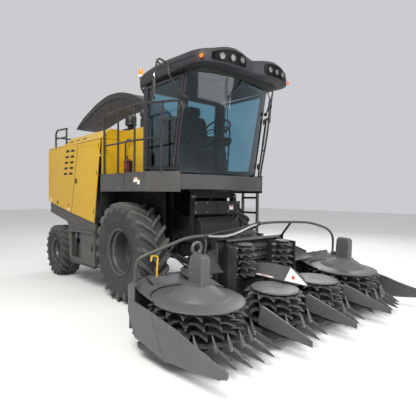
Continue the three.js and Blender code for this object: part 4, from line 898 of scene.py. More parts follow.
def horn(x0, y0, x1, y1, cx, cy, rad):
    d = Vector((x1 - x0, y1 - y0, 0)).normalized()
    q = Vector((x0, y0, 0)) - Vector((cx, cy, 0))
    b = q.dot(d)
    t = -b + math.sqrt(max(0, b * b - (q.length_squared - rad * rad)))
    P = Vector((x0, y0, 0)) + d * t
    L = (Vector((x1, y1, 0)) - P).length
    side = Vector((-d.y, d.x, 0))
    z = lambda p, w: hz(p.x, w)
    rows = []
    # along, height of the spine, height of the belly, half width
    for a, hs, hb, w in ((-0.62, 30, 2, 20), (-0.30, 52, 2, 32), (-0.10, 84, 4, 42), (0.0, 124, 8, 44), (0.08, 138, 12, 42), (0.22, 120, 12, 38), (0.45, 90, 8, 30), (0.72, 54, 3, 18), (0.92, 24, 0, 7), (1.0, 12, 2, 2)):
        p = P + d * (a * L)
        if a > 0.9:
            p = Vector((x1, y1, 0)) if a == 1.0 else p
        rows.append([(p.x - side.x * w, p.y - side.y * w, z(p, FLOOR + hb + (hs - hb) * 0.30)), (p.x, p.y, z(p, FLOOR + hb)), (p.x + side.x * w, p.y + side.y * w, z(p, FLOOR + hb + (hs - hb) * 0.30)),
                     (p.x + side.x * w * 0.35, p.y + side.y * w * 0.35, z(p, FLOOR + hs)), (p.x - side.x * w * 0.35, p.y - side.y * w * 0.35, z(p, FLOOR + hs))])
    vs, fs = [], [(4, 3, 2, 1, 0), tuple(range(45, 50))]
    for r_ in rows:
        vs += r_
    for i in range(9):
        for j in range(5):
            a, b_ = i * 5 + j, i * 5 + (j + 1) % 5
            fs.append((a, b_, b_ + 5, a + 5))
    k.add(vs, fs)
    # the horn's upright spur
    a = P + d * 14
    sp = [(a + d * 52, 84, 38), (a + d * 34, 128, 31), (a + d * 16, 172, 20), (a + d * 2, 214, 10), (a - d * 8, 240, 2)]
    k.tube([(p.x, p.y, z(p, FLOOR + h)) for p, h, _ in sp], [r_ for _, _, r_ in sp], 8, flat=0.7)


for s in (-1, 1):
    for x0, y0, x1, y1 in ((2700, 1900, 3120, 1860), (2800, 1760, 3190, 1690), (2860, 1600, 3240, 1540), (2870, 1440, 3240, 1370), (2860, 1270, 3210, 1190), (2800, 1110, 3150, 1010)):
        horn(x0 - 70, s * y0, x1, s * y1, 2362, s * 1490, 578)
    for x0, y0, x1, y1 in ((2880, 650, 3200, 640), (2920, 450, 3230, 440), (2880, 240, 3200, 230)):
        horn(x0 - 70, s * y0, x1, s * y1, 2571, s * 438, 396)
    # shorter blades between the fingers
    for x0, y0, x1, y1 in ((2750, 1835, 3030, 1790), (2830, 1682, 3110, 1625), (2865, 1522, 3140, 1462), (2865, 1355, 3130, 1285), (2830, 1190, 3080, 1105), (2890, 552, 3120, 546), (2890, 345, 3120, 338)):
        d = Vector((x1 - x0, s * (y1 - y0), 0)).normalized()
        e = Vector((-d.y, d.x, 0))
        vs = []
        for q, w, zt, zb in ((0.0, 34, 96, 60), (0.35, 26, 84, 46), (0.7, 14, 54, 26), (1.0, 2, 14, 6)):
            c = Vector((x0 + (x1 - x0) * q, s * (y0 + (y1 - y0) * q), 0))
            vs += [(c.x - e.x * w, c.y - e.y * w, hz(c.x, FLOOR + zb)), (c.x + e.x * w, c.y + e.y * w, hz(c.x, FLOOR + zb)), (c.x, c.y, hz(c.x, FLOOR + zt))]
        fs = [(2, 1, 0), (9, 10, 11)]
        for i in range(3):
            for j in range(3):
                a_, b_ = i * 3 + j, i * 3 + (j + 1) % 3
                fs.append((a_, b_, b_ + 3, a_ + 3))
        k.add(vs, fs)
k.done("fingers", "header", bevel=0.002, angle=35, replaces=("header_frame",))


# toothed rotors
def toothed(k, at, n, rt, rv, w0, w1, sweep=0.0, drop=0.0):
    prof = ((0.0, 1.0), (0.05, 0.97), (0.12, 0.70), (0.22, 0.36), (0.35, 0.11), (0.5, 0.0), (0.63, 0.05), (0.75, 0.22), (0.85, 0.48), (0.93, 0.78), (0.975, 0.95))
    pts = []
    for i in range(n):
        for t, h in prof:
            a = 2 * math.pi * (i + t + sweep * (h - 0.5)) / n
            r_ = rv + (rt - rv) * h
            pts.append((r_ * math.cos(a), r_ * math.sin(a), drop * h * h))
    m = len(pts)
    vs = [at @ Vector((x, y, w0 - d)) for x, y, d in pts] + [at @ Vector((x, y, w1 - d)) for x, y, d in pts]
    fs = [(i, (i + 1) % m, m + (i + 1) % m, m + i) for i in range(m)]
    # faces as fans to a ring inside
    b = len(vs)
    ri = rv - 74
    for w in (w0, w1):
        vs += [at @ Vector((ri * x / math.hypot(x, y), ri * y / math.hypot(x, y), w)) for x, y, d in pts]
    for i in range(m):
        j = (i + 1) % m
        fs.append((i, b + i, b + j, j))
        fs.append((m + i, m + j, b + m + j, b + m + i))
    k.add(vs, fs)


def rotor(name, node, body, u, v, n, rt, rv, rd, hub):
    k = Maker("near_black")
    k.T = H
    at = T(u, v, 0)
    # scalloped drum between the rings
    m = n * 10
    rows = []
    for w in (-330, -70):
        row = []
        for i in range(m):
            t = (i % 10) / 10
            h = abs(math.cos(math.pi * t)) ** 1.5
            row.append(at @ Vector(((rv - 96 + 24 * h) * math.cos(2 * math.pi * i / m), (rv - 96 + 24 * h) * math.sin(2 * math.pi * i / m), w)))
        rows.append(row)
    fs = [(i, (i + 1) % m, m + (i + 1) % m, m + i) for i in range(m)] + [list(range(m))[::-1], list(range(m, 2 * m))]
    k.add(rows[0] + rows[1], fs)
    k.lathe([(hub, -352), (rd - 8, -352), (rd, -348), (rd, -342), (rd - 8, -338), (hub, -338)], 80, at, close=True)
    k.lathe([(hub, -400), (rv * 0.72, -396), (rv * 0.72, -352), (hub, -352)], 48, at, close=True)
    k.use("blade")
    for j, (w0, w1, dr) in enumerate(((-46, -30, 6), (-140, -125, 4), (-236, -221, 4))):
        toothed(k, T(u, v, 0) @ R(360 / n * 0.16 * j, "Z"), n, rt + dr - 6, rv, w0, w1, 0.24, drop=26 if j == 0 else 34)
    toothed(k, at, n * 3, rd + 6, rd - 20, -336, -331, 0.5)
    k.use("bolt")
    for i in range(n):
        a = 2 * math.pi * (i + 0.5) / n
        r_ = rv - 26
        k.bolt((u + r_ * math.cos(a), v + r_ * math.sin(a), -30), (0, 0, 1), 7, 4)
    k.T = I4
    k.done(name, body, bevel=0.002, angle=40, replaces=(node,))


for side, s, word in SIDES:
    rotor(f"outer_rotor_teeth_{side}", f"outer_rotor_{side}", f"outer_rotor_{word}", 0, s * 1490, 19, 552, 448, 546, 86)
    rotor(f"inner_rotor_teeth_{side}", f"inner_rotor_{side}", f"inner_rotor_{word}", 209, s * 438, 13, 374, 286, 366, 74)
    k = Maker("dark")
    at = T(2032, s * 400, 0)
    k.use("near_black").lathe([(0, 642), (84, 642), (84, 1070), (0, 1070)], 40, at)
    k.use("head")
    k.lathe([(0, 1066), (104, 1066), (108, 1069), (109, 1082), (106, 1087), (98, 1089), (0, 1090)], 56, at)
    k.use("blade")
    for j in range(5):
        toothed(k, at @ R(11 * j, "Z"), 7, 161, 106, 684 + j * 86, 698 + j * 86, 0.3, drop=26)
    k.use("bolt")
    for i in range(4):
        a = math.radians(90 * i + 20)
        k.bolt((2032 + 60 * math.cos(a), s * 400 + 60 * math.sin(a), 1089), (0, 0, 1), 8, 6)
    k.done(f"feed_drum_teeth_{side}", f"feed_drum_{word}", bevel=0.0015, angle=40, replaces=(f"feed_drum_{side}",))

# tube guard
G = [(1897, -1990, 751), (1898, -1989, 860), (1902, -1985, 950), (1912, -1958, 1012), (1934, -1890, 1052), (1960, -1790, 1088), (1985, -1600, 1150), (2000, -1400, 1208), (2000, -1230, 1226), (2000, -1070, 1224), (2000, -780, 1200), (2000, -620, 1215), (2000, -460, 1250), (2000, -270, 1304), (2000, -80, 1338), (2000, 150, 1350), (2000, 400, 1347), (2000, 760, 1335), (2000, 1130, 1308), (1990, 1500, 1232), (1975, 1680, 1180), (1950, 1830, 1110), (1925, 1930, 1030), (1902, 1984, 930), (1897, 1990, 751)]
P = spline(G, 6)
k = Maker("grey")
a = [p for p in P if p.y <= -1060]
b = [p for p in P if -1075 <= p.y <= -90]
c = [p for p in P if p.y >= -105]
k.use("grey").tube(a, 20, 14)
k.use("steel").tube(b, 21.5, 14)
k.use("grey").tube(c, 20, 14)
for p, q in ((a[-1], b[0]), (b[-1], c[0])):
    d = (q - p) if (q - p).length > 1 else Vector((0, 1, 0))
    k.use("black").lathe([(22, -34), (28, -30), (28, 30), (22, 34)], 20, frame_to(p, Vector((0, 1, d.z / max(1, d.y)))), close=True)
k.use("dark")
k.rod((1830, -640, 1130), (2000, -640, 1214), 17)
k.rod((1830, 640, 1130), (2000, 640, 1336), 17)
k.rod((2002, -1090, 1236), (2002, -440, 1300), 8)
k.rod((2002, -440, 1300), (2004, -60, 1372), 8)
k.tube(spline([(2004, -1078, 1210), (2030, -1085, 1120), (2050, -1120, 1010), (2062, -1150, 900), (2066, -1160, 800)], 5), 12, 10)
k.use("bolt").bolt((2068, -1162, 806), (0, -1, 0), 9, 10)
for s in (-1, 1):
    k.use("head").box(1870, 1930, min(s * 1955, s * 2025), max(s * 1955, s * 2025), 750, 762)
    k.use("bolt")
    for x in (1880, 1920):
        k.bolt((x, s * 2012, 762), (0, 0, 1), 7, 5)
k.use("dark").tube(spline([(1830, -1600, 560), (1870, -1750, 700), (1890, -1900, 860), (1905, -1975, 980)], 5), 9, 8)
k.rod((1815, -1180, 800), (1965, -1640, 1112), 11)
k.rod((1800, -1700, 790), (1950, -1470, 1180), 10)
k.done("guard_tubes", "header", bevel=0.0, angle=40, replaces=("header_guard",))

# ------------------------------------------------------------------ roof
def near(table, x):
    for (a, p), (b, q) in zip(table, table[1:]):
        if x <= b:
            return p + (q - p) * max(0.0, (x - a)) / (b - a)
    return table[-1][1]


half_plan = [(40, 790), (58, 835), (120, 858), (700, 905), (1200, 930), (1450, 940), (1590, 928), (1680, 880), (1750, 778), (1798, 640), (1822, 480), (1822, 300), (1806, 170), (1788, 70)]
plan = [(x, -y) for x, y in half_plan] + [(1782, 0)] + [(x, y) for x, y in reversed(half_plan)] + [(34, 400), (34, 0), (34, -400)]
outline = [(p.x, p.y) for p in spline([(x, y, 0) for x, y in plan], 5, closed=True)]
SIDE_TOP = [(0, 3664), (200, 3690), (500, 3712), (850, 3714), (1400, 3682), (1650, 3672)]
FRONT_TOP = [(0, 3690), (140, 3710), (260, 3734), (400, 3750), (540, 3738), (660, 3712), (740, 3690), (860, 3676), (950, 3670)]


def top_z(x, y):
    q = min(1.0, max(0.0, (x - 1500) / 230))
    return near(SIDE_TOP, x) * (1 - q) + near(FRONT_TOP, abs(y)) * q


def inset_ring(d):
    n = len(outline)
    out = []
    for i in range(n):
        a, b = outline[i - 1], outline[(i + 1) % n]
        t = Vector((b[0] - a[0], b[1] - a[1], 0)).normalized()
        out.append((outline[i][0] - t.y * d, outline[i][1] + t.x * d))
    return out


def front_pod(x, y):
    return x > 1690 and 175 < abs(y) < 800


k = Maker("roof")
rings = []
for d, zf in ((46, lambda x, y: 3478), (14, lambda x, y: 3482), (3, lambda x, y: 3494), (0, lambda x, y: 3512)):
    rings.append([(p[0], p[1], zf(*p)) for p in inset_ring(d)])
for d, drop in ((0, 74), (5, 52), (14, 30), (32, 12), (66, 0)):
    ring = inset_ring(d)
    rings.append([(p[0], p[1], top_z(*o) - drop) for p, o in zip(ring, outline)])
for f, rise in ((0.90, 6), (0.80, 20), (0.66, 34), (0.45, 44), (0.2, 48)):
    rings.append([(820 + (o[0] - 820) * f, o[1] * f, (top_z(*o) + rise) * min(1, f * 1.15) + (3742 + rise * 0.3) * (1 - min(1, f * 1.15))) for o in outline])
n = len(outline)
vs, fs = [], []
for r_ in rings:
    vs += r_
for i in range(len(rings) - 1):
    for j in range(n):
        a, b = i * n + j, i * n + (j + 1) % n
        fs.append((a, b, b + n, a + n))
vs += [(820, 0, 3757), (820, 0, 3478)]
for j in range(n):
    a, b = (len(rings) - 1) * n + j, (len(rings) - 1) * n + (j + 1) % n
    fs.append((a, b, len(vs) - 2))
    fs.append(((j + 1) % n, j, len(vs) - 1))
k.add(vs, fs)
# pressed crease along the side and a rain channel on the top
for s in (-1, 1):
    k.tube([(x, s * (near([(40, 792), (120, 862), (700, 909), (1450, 944), (1640, 930)], x)), top_z(x, 0) - 92 - (x - 100) * 0.012) for x in range(140, 1620, 60)], 6, 6, flat=0.6)
    k.tube([(x, s * 640, 3736 + (10 if 400 < x < 1200 else 0)) for x in range(260, 1500, 80)], 9, 8)
k.box(560, 1080, -280, 280, 3745, 3772)
for x in (600, 1040):
    for y in (-240, 240):
        k.bolt((x, y, 3771), (0, 0, 1), 9, 6)
k.done("roof_shell", "chassis", bevel=0.0, angle=46, replaces=("cab_roof",))

# glossy panels behind the lamps, lamps, side marker and beacon
k = Maker("gloss")
nidx = [i for i, (x, y) in enumerate(outline)]
for s in (-1, 1):
    idx = [i for i in nidx if front_pod(*outline[i]) and outline[i][1] * s > 0]
    ring = inset_ring(-4)
    vs = []
    for z_f in (0.0, 0.12, 0.88, 1.0):
        for i in idx:
            x, y = outline[i]
            zt, zb = top_z(x, y) - 62, 3508
            edge = min(1.0, (min(abs(abs(y) - 175), abs(800 - abs(y)))) / 60)
            mid = (zt + zb) / 2
            z = zb + (zt - zb) * z_f
            z = mid + (z - mid) * (0.55 + 0.45 * edge)
            vs.append((ring[i][0] + (0 if z_f in (0.0, 1.0) else 3), ring[i][1], z))
    m = len(idx)
    fs = []
    for r_ in range(3):
        for j in range(m - 1):
            a = r_ * m + j
            fs.append((a, a + 1, a + m + 1, a + m))
    base = len(vs)
    vs += [(x - 14, y, z) for x, y, z in vs]
    for r_ in range(3):
        for j in range(m - 1):
            a = base + r_ * m + j
            fs.append((a, a + m, a + m + 1, a + 1))
    ring2 = list(range(m)) + [r_ * m + m - 1 for r_ in (1, 2)] + [3 * m + j for j in range(m - 1, -1, -1)] + [r_ * m for r_ in (2, 1)]
    for a, b in zip(ring2, ring2[1:] + ring2[:1]):
        fs.append((a, base + a, base + b, b))
    k.add(vs, fs)
k.done("lamp_panels", "chassis", bevel=0.0, angle=40)

k = Maker("chrome")
LAMPS = [(1806, -644, 3571, 45, -16), (1826, -472, 3582, 46, -8), (1830, -296, 3590, 46, 0), (1830, 300, 3590, 42, 0), (1828, 440, 3586, 42, 6), (1814, 590, 3578, 42, 14)]
def outline_x(y):
    i = min((i for i in range(len(outline)) if outline[i][0] > 1500), key=lambda q: abs(outline[q][1] - y))
    a, b = outline[i - 1], outline[(i + 1) % len(outline)]
    return outline[i][0], math.degrees(math.atan2(-(b[0] - a[0]), b[1] - a[1]))


for x, y, z, r_, ay in LAMPS:
    x, ay = outline_x(y)
    x += 16 * math.cos(math.radians(ay))
    y += 16 * math.sin(math.radians(ay))
    at = frame_to((x, y, z), (math.cos(math.radians(ay)), math.sin(math.radians(ay)), -0.10))
    k.use("plastic").lathe([(r_ - 4, 4), (r_ - 2, 12), (r_ + 3, 13), (r_ + 5, 8), (r_ + 5, -22), (r_ - 10, -30), (0, -30), (0, -26), (r_ - 12, -26), (r_ - 4, -6)], 36, at)
    k.use("chrome").lathe([(0, -20), (r_ * 0.35, -19), (r_ * 0.7, -12), (r_ - 5, 2), (r_ - 5, 4)], 36, at)
    k.use("white").lathe([(0, -14), (r_ - 8, -6), (r_ - 6, 2), (r_ * 0.5, 4.5), (0, 5)], 28, at)
    k.use("lens").lathe([(0, 9), (r_ * 0.5, 8.4), (r_ - 5, 6), (r_ - 5, 4), (r_ * 0.5, 6.4), (0, 7)], 36, at)
k.use("amber")
at = frame_to((1688, -905, 3548), (0.42, -0.9, 0))
k.lathe([(0, 0), (26, 0), (28, 6), (24, 12), (0, 14)], 24, at)
at = frame_to((1688, 905, 3548), (0.42, 0.9, 0))
k.lathe([(0, 0), (26, 0), (28, 6), (24, 12), (0, 14)], 24, at)
k.done("work_lamps", "chassis", angle=38)

k = Maker("white")
k.lathe([(0, 3652), (30, 3652), (44, 3658), (46, 3664), (46, 3690), (42, 3694), (0, 3694)], 32, T(13, -800, 0))
k.use("amber").lathe([(0, 3694), (41, 3694), (42, 3700), (42, 3760), (38, 3780), (26, 3792), (0, 3796)], 32, T(13, -800, 0))
k.use("plastic").pipe([(160, -822, 3400), (120, -812, 3404), (60, -802, 3440), (18, -800, 3520), (13, -800, 3655)], 17, 12, 6)
k.box(128, 165, -846, -796, 3370, 3434)
k.box(166, 190, -842, -800, 3376, 3428)
k.done("beacon", "chassis", bevel=0.0015)

# headliner and the cab's inner trim
# its dark colour is painted shade inside the cab
k = Maker("shaded_lining")
k.box(190, 1560, -770, 770, 3462, 3476)
k.use("trim")
k.prism([(200, -780), (1500, -800), (1640, -600), (1660, 0), (1640, 600), (1500, 800), (200, 780)], "xy", 3474, 3480)
for y in (-300, 300):
    k.use("plastic").lathe([(0, 3450), (48, 3450), (54, 3456), (54, 3462), (0, 3462)], 28, T(700, y, 0))
k.use("plastic").box(1180, 1440, -260, 260, 3424, 3462)
k.box(1176, 1184, -240, 240, 3432, 3456)
k.done("headliner", "chassis", bevel=0.006)

# ------------------------------------------------------------------ rails and mirrors
def foot(k, x, y, z, w=34):
    k.box(x - w, x + w, y - w, y + w, z, z + 8)
    for a in (-22, 22):
        for b in (-22, 22):
            k.bolt((x + a, y + b, z + 8), (0, 0, 1), 6, 5)


k = Maker("black")
main = [(-590, -1150, 2068), (-590, -1150, 2500), (-590, -1150, 2960), (-578, -1150, 3030), (-535, -1150, 3068), (-470, -1150, 3080), (-100, -1150, 3080), (420, -1150, 3080), (700, -1100, 3070), (1000, -1040, 3050), (1240, -985, 3030), (1330, -968, 3005), (1368, -962, 2945), (1364, -962, 2862), (1318, -968, 2806), (1230, -985, 2790), (1000, -1040, 2790)]
k.pipe(main, 17, 14, 5)
for x, y in ((-100, -1150), (420, -1150)):
    k.rod((x, y, 2068), (x, y, 3078), 16, 12)
k.rod((975, -1040, 2068), (1000, -1040, 3048), 16, 12)
k.rod((-590, -1150, 2550), (420, -1150, 2550), 15, 12)
k.rod((420, -1150, 2550), (987, -1040, 2550), 15, 12)
for x, y in ((-590, -1150), (-100, -1150), (420, -1150), (975, -1040)):
    foot(k, x, y, 2066)
for p in ((-590, -1150, 2550), (-100, -1150, 2550), (420, -1150, 2550), (987, -1040, 2550), (-100, -1150, 3062), (420, -1150, 3062), (1000, -1040, 2806), (1000, -1040, 3034)):
    k.lathe([(15, -9), (22, -6), (22, 6), (15, 9)], 14, T(*p), close=True)
k.done("guard_rails_R", "chassis", angle=40, replaces=("handrail_R",))
k = Maker("black")
k.pipe([(-590, 1150, 2068), (-590, 1150, 2500), (-590, 1150, 2960), (-578, 1150, 3030), (-535, 1150, 3068), (-470, 1150, 3080), (-200, 1150, 3080), (0, 1150, 3080), (65, 1150, 3068), (108, 1150, 3030), (120, 1150, 2960), (120, 1150, 2500), (120, 1150, 2068)], 17, 14, 5)
k.rod((-250, 1150, 2068), (-250, 1150, 3078), 16, 12)
k.rod((-590, 1150, 2550), (120, 1150, 2550), 15, 12)
for x in (-590, -250, 120):
    foot(k, x, 1150, 2066)
    k.lathe([(15, -9), (22, -6), (22, 6), (15, 9)], 14, T(x, 1150, 2550), close=True)
k.done("guard_rails_L", "chassis", angle=40, replaces=("handrail_L",))
k = Maker("black")
k.pipe([(972, 1040, 2068), (972, 1040, 2110), (1042, 1038, 2500), (1122, 1034, 2960), (1146, 1022, 3045), (1186, 1002, 3066), (1224, 984, 3045), (1238, 974, 2950), (1165, 966, 2500), (1092, 960, 2110), (1092, 960, 2068)], 16, 14, 6)
k.rod((1046, 1038, 2520), (1168, 966, 2520), 13, 12)
foot(k, 972, 1040, 2066, 30)
foot(k, 1092, 960, 2066, 30)
k.use("hose").tube(spline([(1060, 1037, 2600), (1090, 1036, 2780), (1118, 1034, 2940)], 8), 18.5, 14)
k.done("entry_grab_rail", "chassis", angle=40, replaces=("grab_rail_L",))
k = Maker("black")
for s in (-1, 1):
    k.pipe([(-3080, s * 1080, 2712), (-3080, s * 1080, 2800), (-3085, s * 1080, 2980), (-3062, s * 1080, 3062), (-3010, s * 1080, 3096), (-2950, s * 1080, 3108), (-2700, s * 1080, 3098), (-2440, s * 1080, 3085)], 19, 14, 5)
    k.rod((-2470, s * 1080, 2712), (-2470, s * 1080, 3086), 18, 12)
    k.rod((-3083, s * 1080, 2930), (-2470, s * 1080, 2920), 14, 12)
    for x in (-3080, -2470):
        foot(k, x, s * 1080, 2711, 36)
k.rod((-3083, -1080, 2960), (-3083, 1080, 2960), 16, 12)
k.done("deck_guard_rails", "chassis", angle=40, replaces=("rear_guard_rail",))

for side, s, word in SIDES:
    k = Maker("black")
    k.pipe([(1180, s * 850, 3486), (1170, s * 930, 3488), (1150, s * 1000, 3512), (1135, s * 1120, 3566), (1128, s * 1180, 3582), (1118, s * 1212, 3560), (1100, s * 1218, 3460), (1072, s * 1218, 3250), (1060, s * 1218, 3040)], 14, 12, 5)
    k.pipe([(1122, s * 1210, 3548), (1150, s * 1150, 3475), (1185, s * 1080, 3390), (1280, s * 862, 3095)], 12, 12, 5)
    k.rod((1145, s * 1055, 3536), (1195, s * 1058, 3362), 9, 10)
    for x, z in ((1180, 3486), (1280, 3095)):
        k.lathe([(0, -12), (30, -12), (30, 6), (20, 14), (0, 14)], 20, frame_to((x, s * 852, z), (0, s, 0)))
    for z in (3130, 3320):
        k.use("plastic").lathe([(14, -22), (22, -18), (22, 18), (14, 22)], 16, T(1072 + 0.17 * (z - 3250) - 4, s * 1218, z), close=True)
    k.use("plastic")
    # a shell that bulges at the back, the glass set in a rim
    tw = T(1062, -1236, 3230) @ R(55 + 180, "Z") if s < 0 else T(1060, 1202, 3230) @ R(38, "Z")
    k.T = tw
    rows = []
    for q, f in ((0, 1.0), (0.25, 1.0), (0.6, 0.94), (0.85, 0.78), (1.0, 0.5)):
        ring = []
        for i in range(40):
            a = 2 * math.pi * i / 40
            c, sn = math.cos(a), math.sin(a)
            e = 0.45
            yy = 92 * f * math.copysign(abs(c) ** e, c)
            zz = 185 * (0.5 + 0.5 * f) * math.copysign(abs(sn) ** e, sn)
            ring.append((-13 + 26 * q, yy, zz))
        rows.append(ring)
    vs, fs = [], []
    for r_ in rows:
        vs += r_
    for i in range(len(rows) - 1):
        for j in range(40):
            a, b = i * 40 + j, i * 40 + (j + 1) % 40
            fs.append((a, b, b + 40, a + 40))
    fs += [list(range(40))[::-1], list(range(160, 200))]
    k.add(vs, fs)
    k.use("mirror")
    ring = []
    for i in range(40):
        a = 2 * math.pi * i / 40
        c, sn = math.cos(a), math.sin(a)
        ring.append((84 * math.copysign(abs(c) ** 0.45, c), 177 * math.copysign(abs(sn) ** 0.45, sn)))
    k.prism(ring, "yz", -17, -13)
    k.T = I4
    k.done(f"mirror_and_arm_{side}", "chassis", bevel=0.0, angle=40, replaces=(f"mirror_{side}",))

# ------------------------------------------------------------------ spout
outer = [(-500, 3262), (-640, 3370), (-860, 3520), (-1175, 3680), (-1480, 3795), (-1785, 3872), (-2080, 3905), (-2384, 3912), (-2720, 3868), (-3050, 3800), (-3400, 3695), (-3740, 3588)]
lower = [(-3760, 3300), (-3400, 3300), (-3050, 3340), (-2600, 3420), (-2170, 3470), (-1800, 3490), (-1490, 3480), (-1180, 3405), (-900, 3280), (-700, 3140), (-640, 3050)]
O_ = [(p.x, p.y - 10) for p in spline([(a, b, 0) for a, b in outer], 4)]
L_ = [(p.x, p.y) for p in spline([(a, b, 0) for a, b in lower], 4)]
k = Maker("cabframe")
# the spout's body takes the dark brown: painted shade and brownish light of its open underside
k.use("spout_inside_painted_light").prism([(-500, 3052)] + [(x, z) for x, z in O_] + L_, "xz", -188, 188)
k.use("cabframe")


def strip(k, pts, y0, y1, t):
    """A thin sheet that follows a curve in xz, t thick below it."""
    off = []
    for i, p in enumerate(pts):
        a, b = pts[max(0, i - 1)], pts[min(len(pts) - 1, i + 1)]
        d = Vector((b[0] - a[0], b[1] - a[1], 0)).normalized()
        off.append((p[0] - d.y * t, p[1] + d.x * t))
    for i in range(len(pts) - 1):
        k.prism([pts[i], pts[i + 1], off[i + 1], off[i]], "xz", y0, y1)


for s in (-1, 1):
    y0, y1 = sorted((s * 186, s * 200))
    k.use("black")
    strip(k, O_[4:], *sorted((s * 184, s * 201)), 118)
    k.use("cabframe")
    strip(k, [(x, z) for x, z in L_], y0, y1, 22)
    k.prism([(-470, 3000), (-470, 3200), (-560, 3300), (-660, 3370), (-700, 3340), (-700, 3060), (-640, 3000)], "xz", *sorted((s * 190, s * 212)))
    for i in range(3, len(O_) - 1, 8):  # pressed ribs between the flanges
        x, z = O_[i]
        j = min(range(len(L_)), key=lambda q: abs(L_[q][0] - (x + 20)))
        if x > -760:
            continue
        zl = L_[j][1]
        k.prism([(x - 12, z - 20), (x + 12, z - 20), (x + 32, zl + 20), (x + 8, zl + 20)], "xz", *sorted((s * 186, s * 196)))
    for x in range(-3500, -700, 240):
        i = min(range(len(O_)), key=lambda q: abs(O_[q][0] - x))
        k.use("bolt").bolt((O_[i][0], s * 200, O_[i][1] - 14), (0, s, 0), 6, 5)
        k.use("cabframe")
    k.use("bolt").bolt((-585, s * 212, 3100), (0, s, 0), 24, 16)
    k.use("cabframe")
strip(k, [(x, z + 6) for x, z in O_], -196, 196, 8)
for i in range(6, len(O_) - 2, 6):  # straps over the top
    x, z = O_[i]
    a = math.atan2(O_[i + 1][1] - O_[i - 1][1], O_[i + 1][0] - O_[i - 1][0])
    k.prism([(x - 16, z - 5), (x + 16, z + (math.tan(a) * 32) * -0 - 5 + math.tan(a) * 32 * 0), (x + 16, z + 7 + math.tan(a) * 16), (x - 16, z + 7 - math.tan(a) * 16)], "xz", -192, 192)
k.done("spout_duct", "spout", bevel=0.002, angle=34, replaces=("spout",))

# ------------------------------------------------------------------ spout flap and turret
k = Maker("cabframe")
k.prism([(-3775, 3590), (-3850, 3566), (-4000, 3500), (-4110, 3440), (-4185, 3388), (-4182, 3380), (-4106, 3431), (-3996, 3491), (-3848, 3556), (-3775, 3578)], "xz", -166, 166)
for y in (-80, 80):
    k.prism([(-3800, 3592), (-3990, 3512), (-4150, 3420), (-4150, 3412), (-3990, 3503), (-3800, 3584)], "xz", y - 6, y + 6)
k.use("bolt")
for y in (-130, 0, 130):
    k.bolt((-3830, y, 3574), (-0.3, 0, 1), 7, 5)
k.done("flap_plate", "spout_flap", bevel=0.0015, angle=30, replaces=("spout_flap",))

k = Maker("bolt")
for i in range(20):
    a = 2 * math.pi * i / 20
    k.bolt((-420 + 268 * math.cos(a), 268 * math.sin(a), 2980), (0, 0, 1), 10, 8)
k.done("turret_bolts", "turret", angle=35)

# ------------------------------------------------------------------ seat
def cushion(name, body, cx, cy, cz, hx, hy, hz_, tilt=0.0, bolster=0.0, crown=0.18, seam=0.006, res=30):
    """A stuffed pad: rounded outline, crowned faces, stitched channels pulled in."""
    k = Maker("fabric")
    M = T(cx, cy, cz) @ R(tilt, "Y")
    e = 0.38
    vs, fs = [], []
    L_, A_ = 22, 48
    for i in range(L_ + 1):
        ph = -math.pi / 2 + math.pi * i / L_
        cp, sp = math.cos(ph), math.sin(ph)
        rz = math.copysign(abs(sp) ** 0.55, sp)
        rr = abs(cp) ** e if abs(cp) > 1e-9 else 0.0
        for j in range(A_):
            a = 2 * math.pi * j / A_
            c, sn = math.cos(a), math.sin(a)
            u = rr * math.copysign(abs(c) ** 0.34, c)
            v = rr * math.copysign(abs(sn) ** 0.34, sn)
            w = rz * (1 + crown * (1 - u * u) * (1 - v * v))
            if rz > 0.2:
                for line in (-0.42, 0.0, 0.42):  # quilted channels
                    w -= 0.10 * math.exp(-((v - line) / 0.045) ** 2) * (1 - u ** 4)
                w -= 0.16 * math.exp(-((u - 0.05) / 0.05) ** 2) * (1 - v ** 4)
                w += bolster * max(0.0, abs(v) - 0.6) * 2.2
            wr = 0.012 * noise.noise(Vector((u * 3.1 + cx * 0.01, v * 3.7, rz * 2.0)))
            vs.append(M @ Vector((hx * (u + wr), hy * (v + wr), hz_ * (w + wr * 2))))
    for i in range(L_):
        for j in range(A_):
            a, b = i * A_ + j, i * A_ + (j + 1) % A_
            fs.append((a, b, b + A_, a + A_))
    k.add(vs, fs)
    ob = k.done(name, body, bevel=0.0, angle=60)
    return ob


seat_pad = cushion("seat_cushion", "chassis", 690, 0, 2420, 226, 240, 72, 4, bolster=0.35)
back_pad = cushion("seat_backrest", "chassis", 470, 0, 2765, 300, 222, 62, 90 - 11, bolster=0.35)
head_pad = cushion("seat_headrest", "chassis", 402, 0, 3150, 78, 130, 44, 90 - 11, crown=0.1)
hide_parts("seat")
# edge piping is part of the hard shell behind
k = Maker("plastic")
k.prism([(392, 2420), (448, 2428), (418, 2700), (372, 3060), (338, 3056), (346, 2700)], "xz", -205, 205)
k.box(470, 900, -225, 225, 2318, 2352)
k.rod((385, -60, 3020), (372, -60, 3120), 8)
k.rod((385, 60, 3020), (372, 60, 3120), 8)
for s in (-1, 1):
    k.prism([(440, 2600), (500, 2640), (800, 2655), (820, 2632), (800, 2612), (500, 2600)], "xz", *sorted((s * 262, s * 318)))
    k.box(430, 470, *sorted((s * 232, s * 300)), 2560, 2640)
k.use("rim")
k.lathe([(0, 2030), (150, 2030), (152, 2042), (96, 2060), (90, 2300), (150, 2318), (0, 2320)], 36, T(680, 0, 0))
for i in range(6):  # bellows under the seat
    k.use("seal").lathe([(140, 2120 + i * 30), (156, 2135 + i * 30), (140, 2150 + i * 30)], 36, T(680, 0, 0), close=True)
k.use("plastic")
k.box(560, 800, -318, -262, 2655, 2672)
k.pipe([(790, -290, 2660), (796, -290, 2720), (806, -292, 2770)], 13, 12, 4)
k.lathe([(0, 0), (20, 0), (26, 12), (26, 44), (18, 60), (0, 62)], 20, frame_to((804, -292, 2750), (0.2, 0, 1)))
k.done("seat_frame_and_armrests", "chassis", bevel=0.006, angle=32)

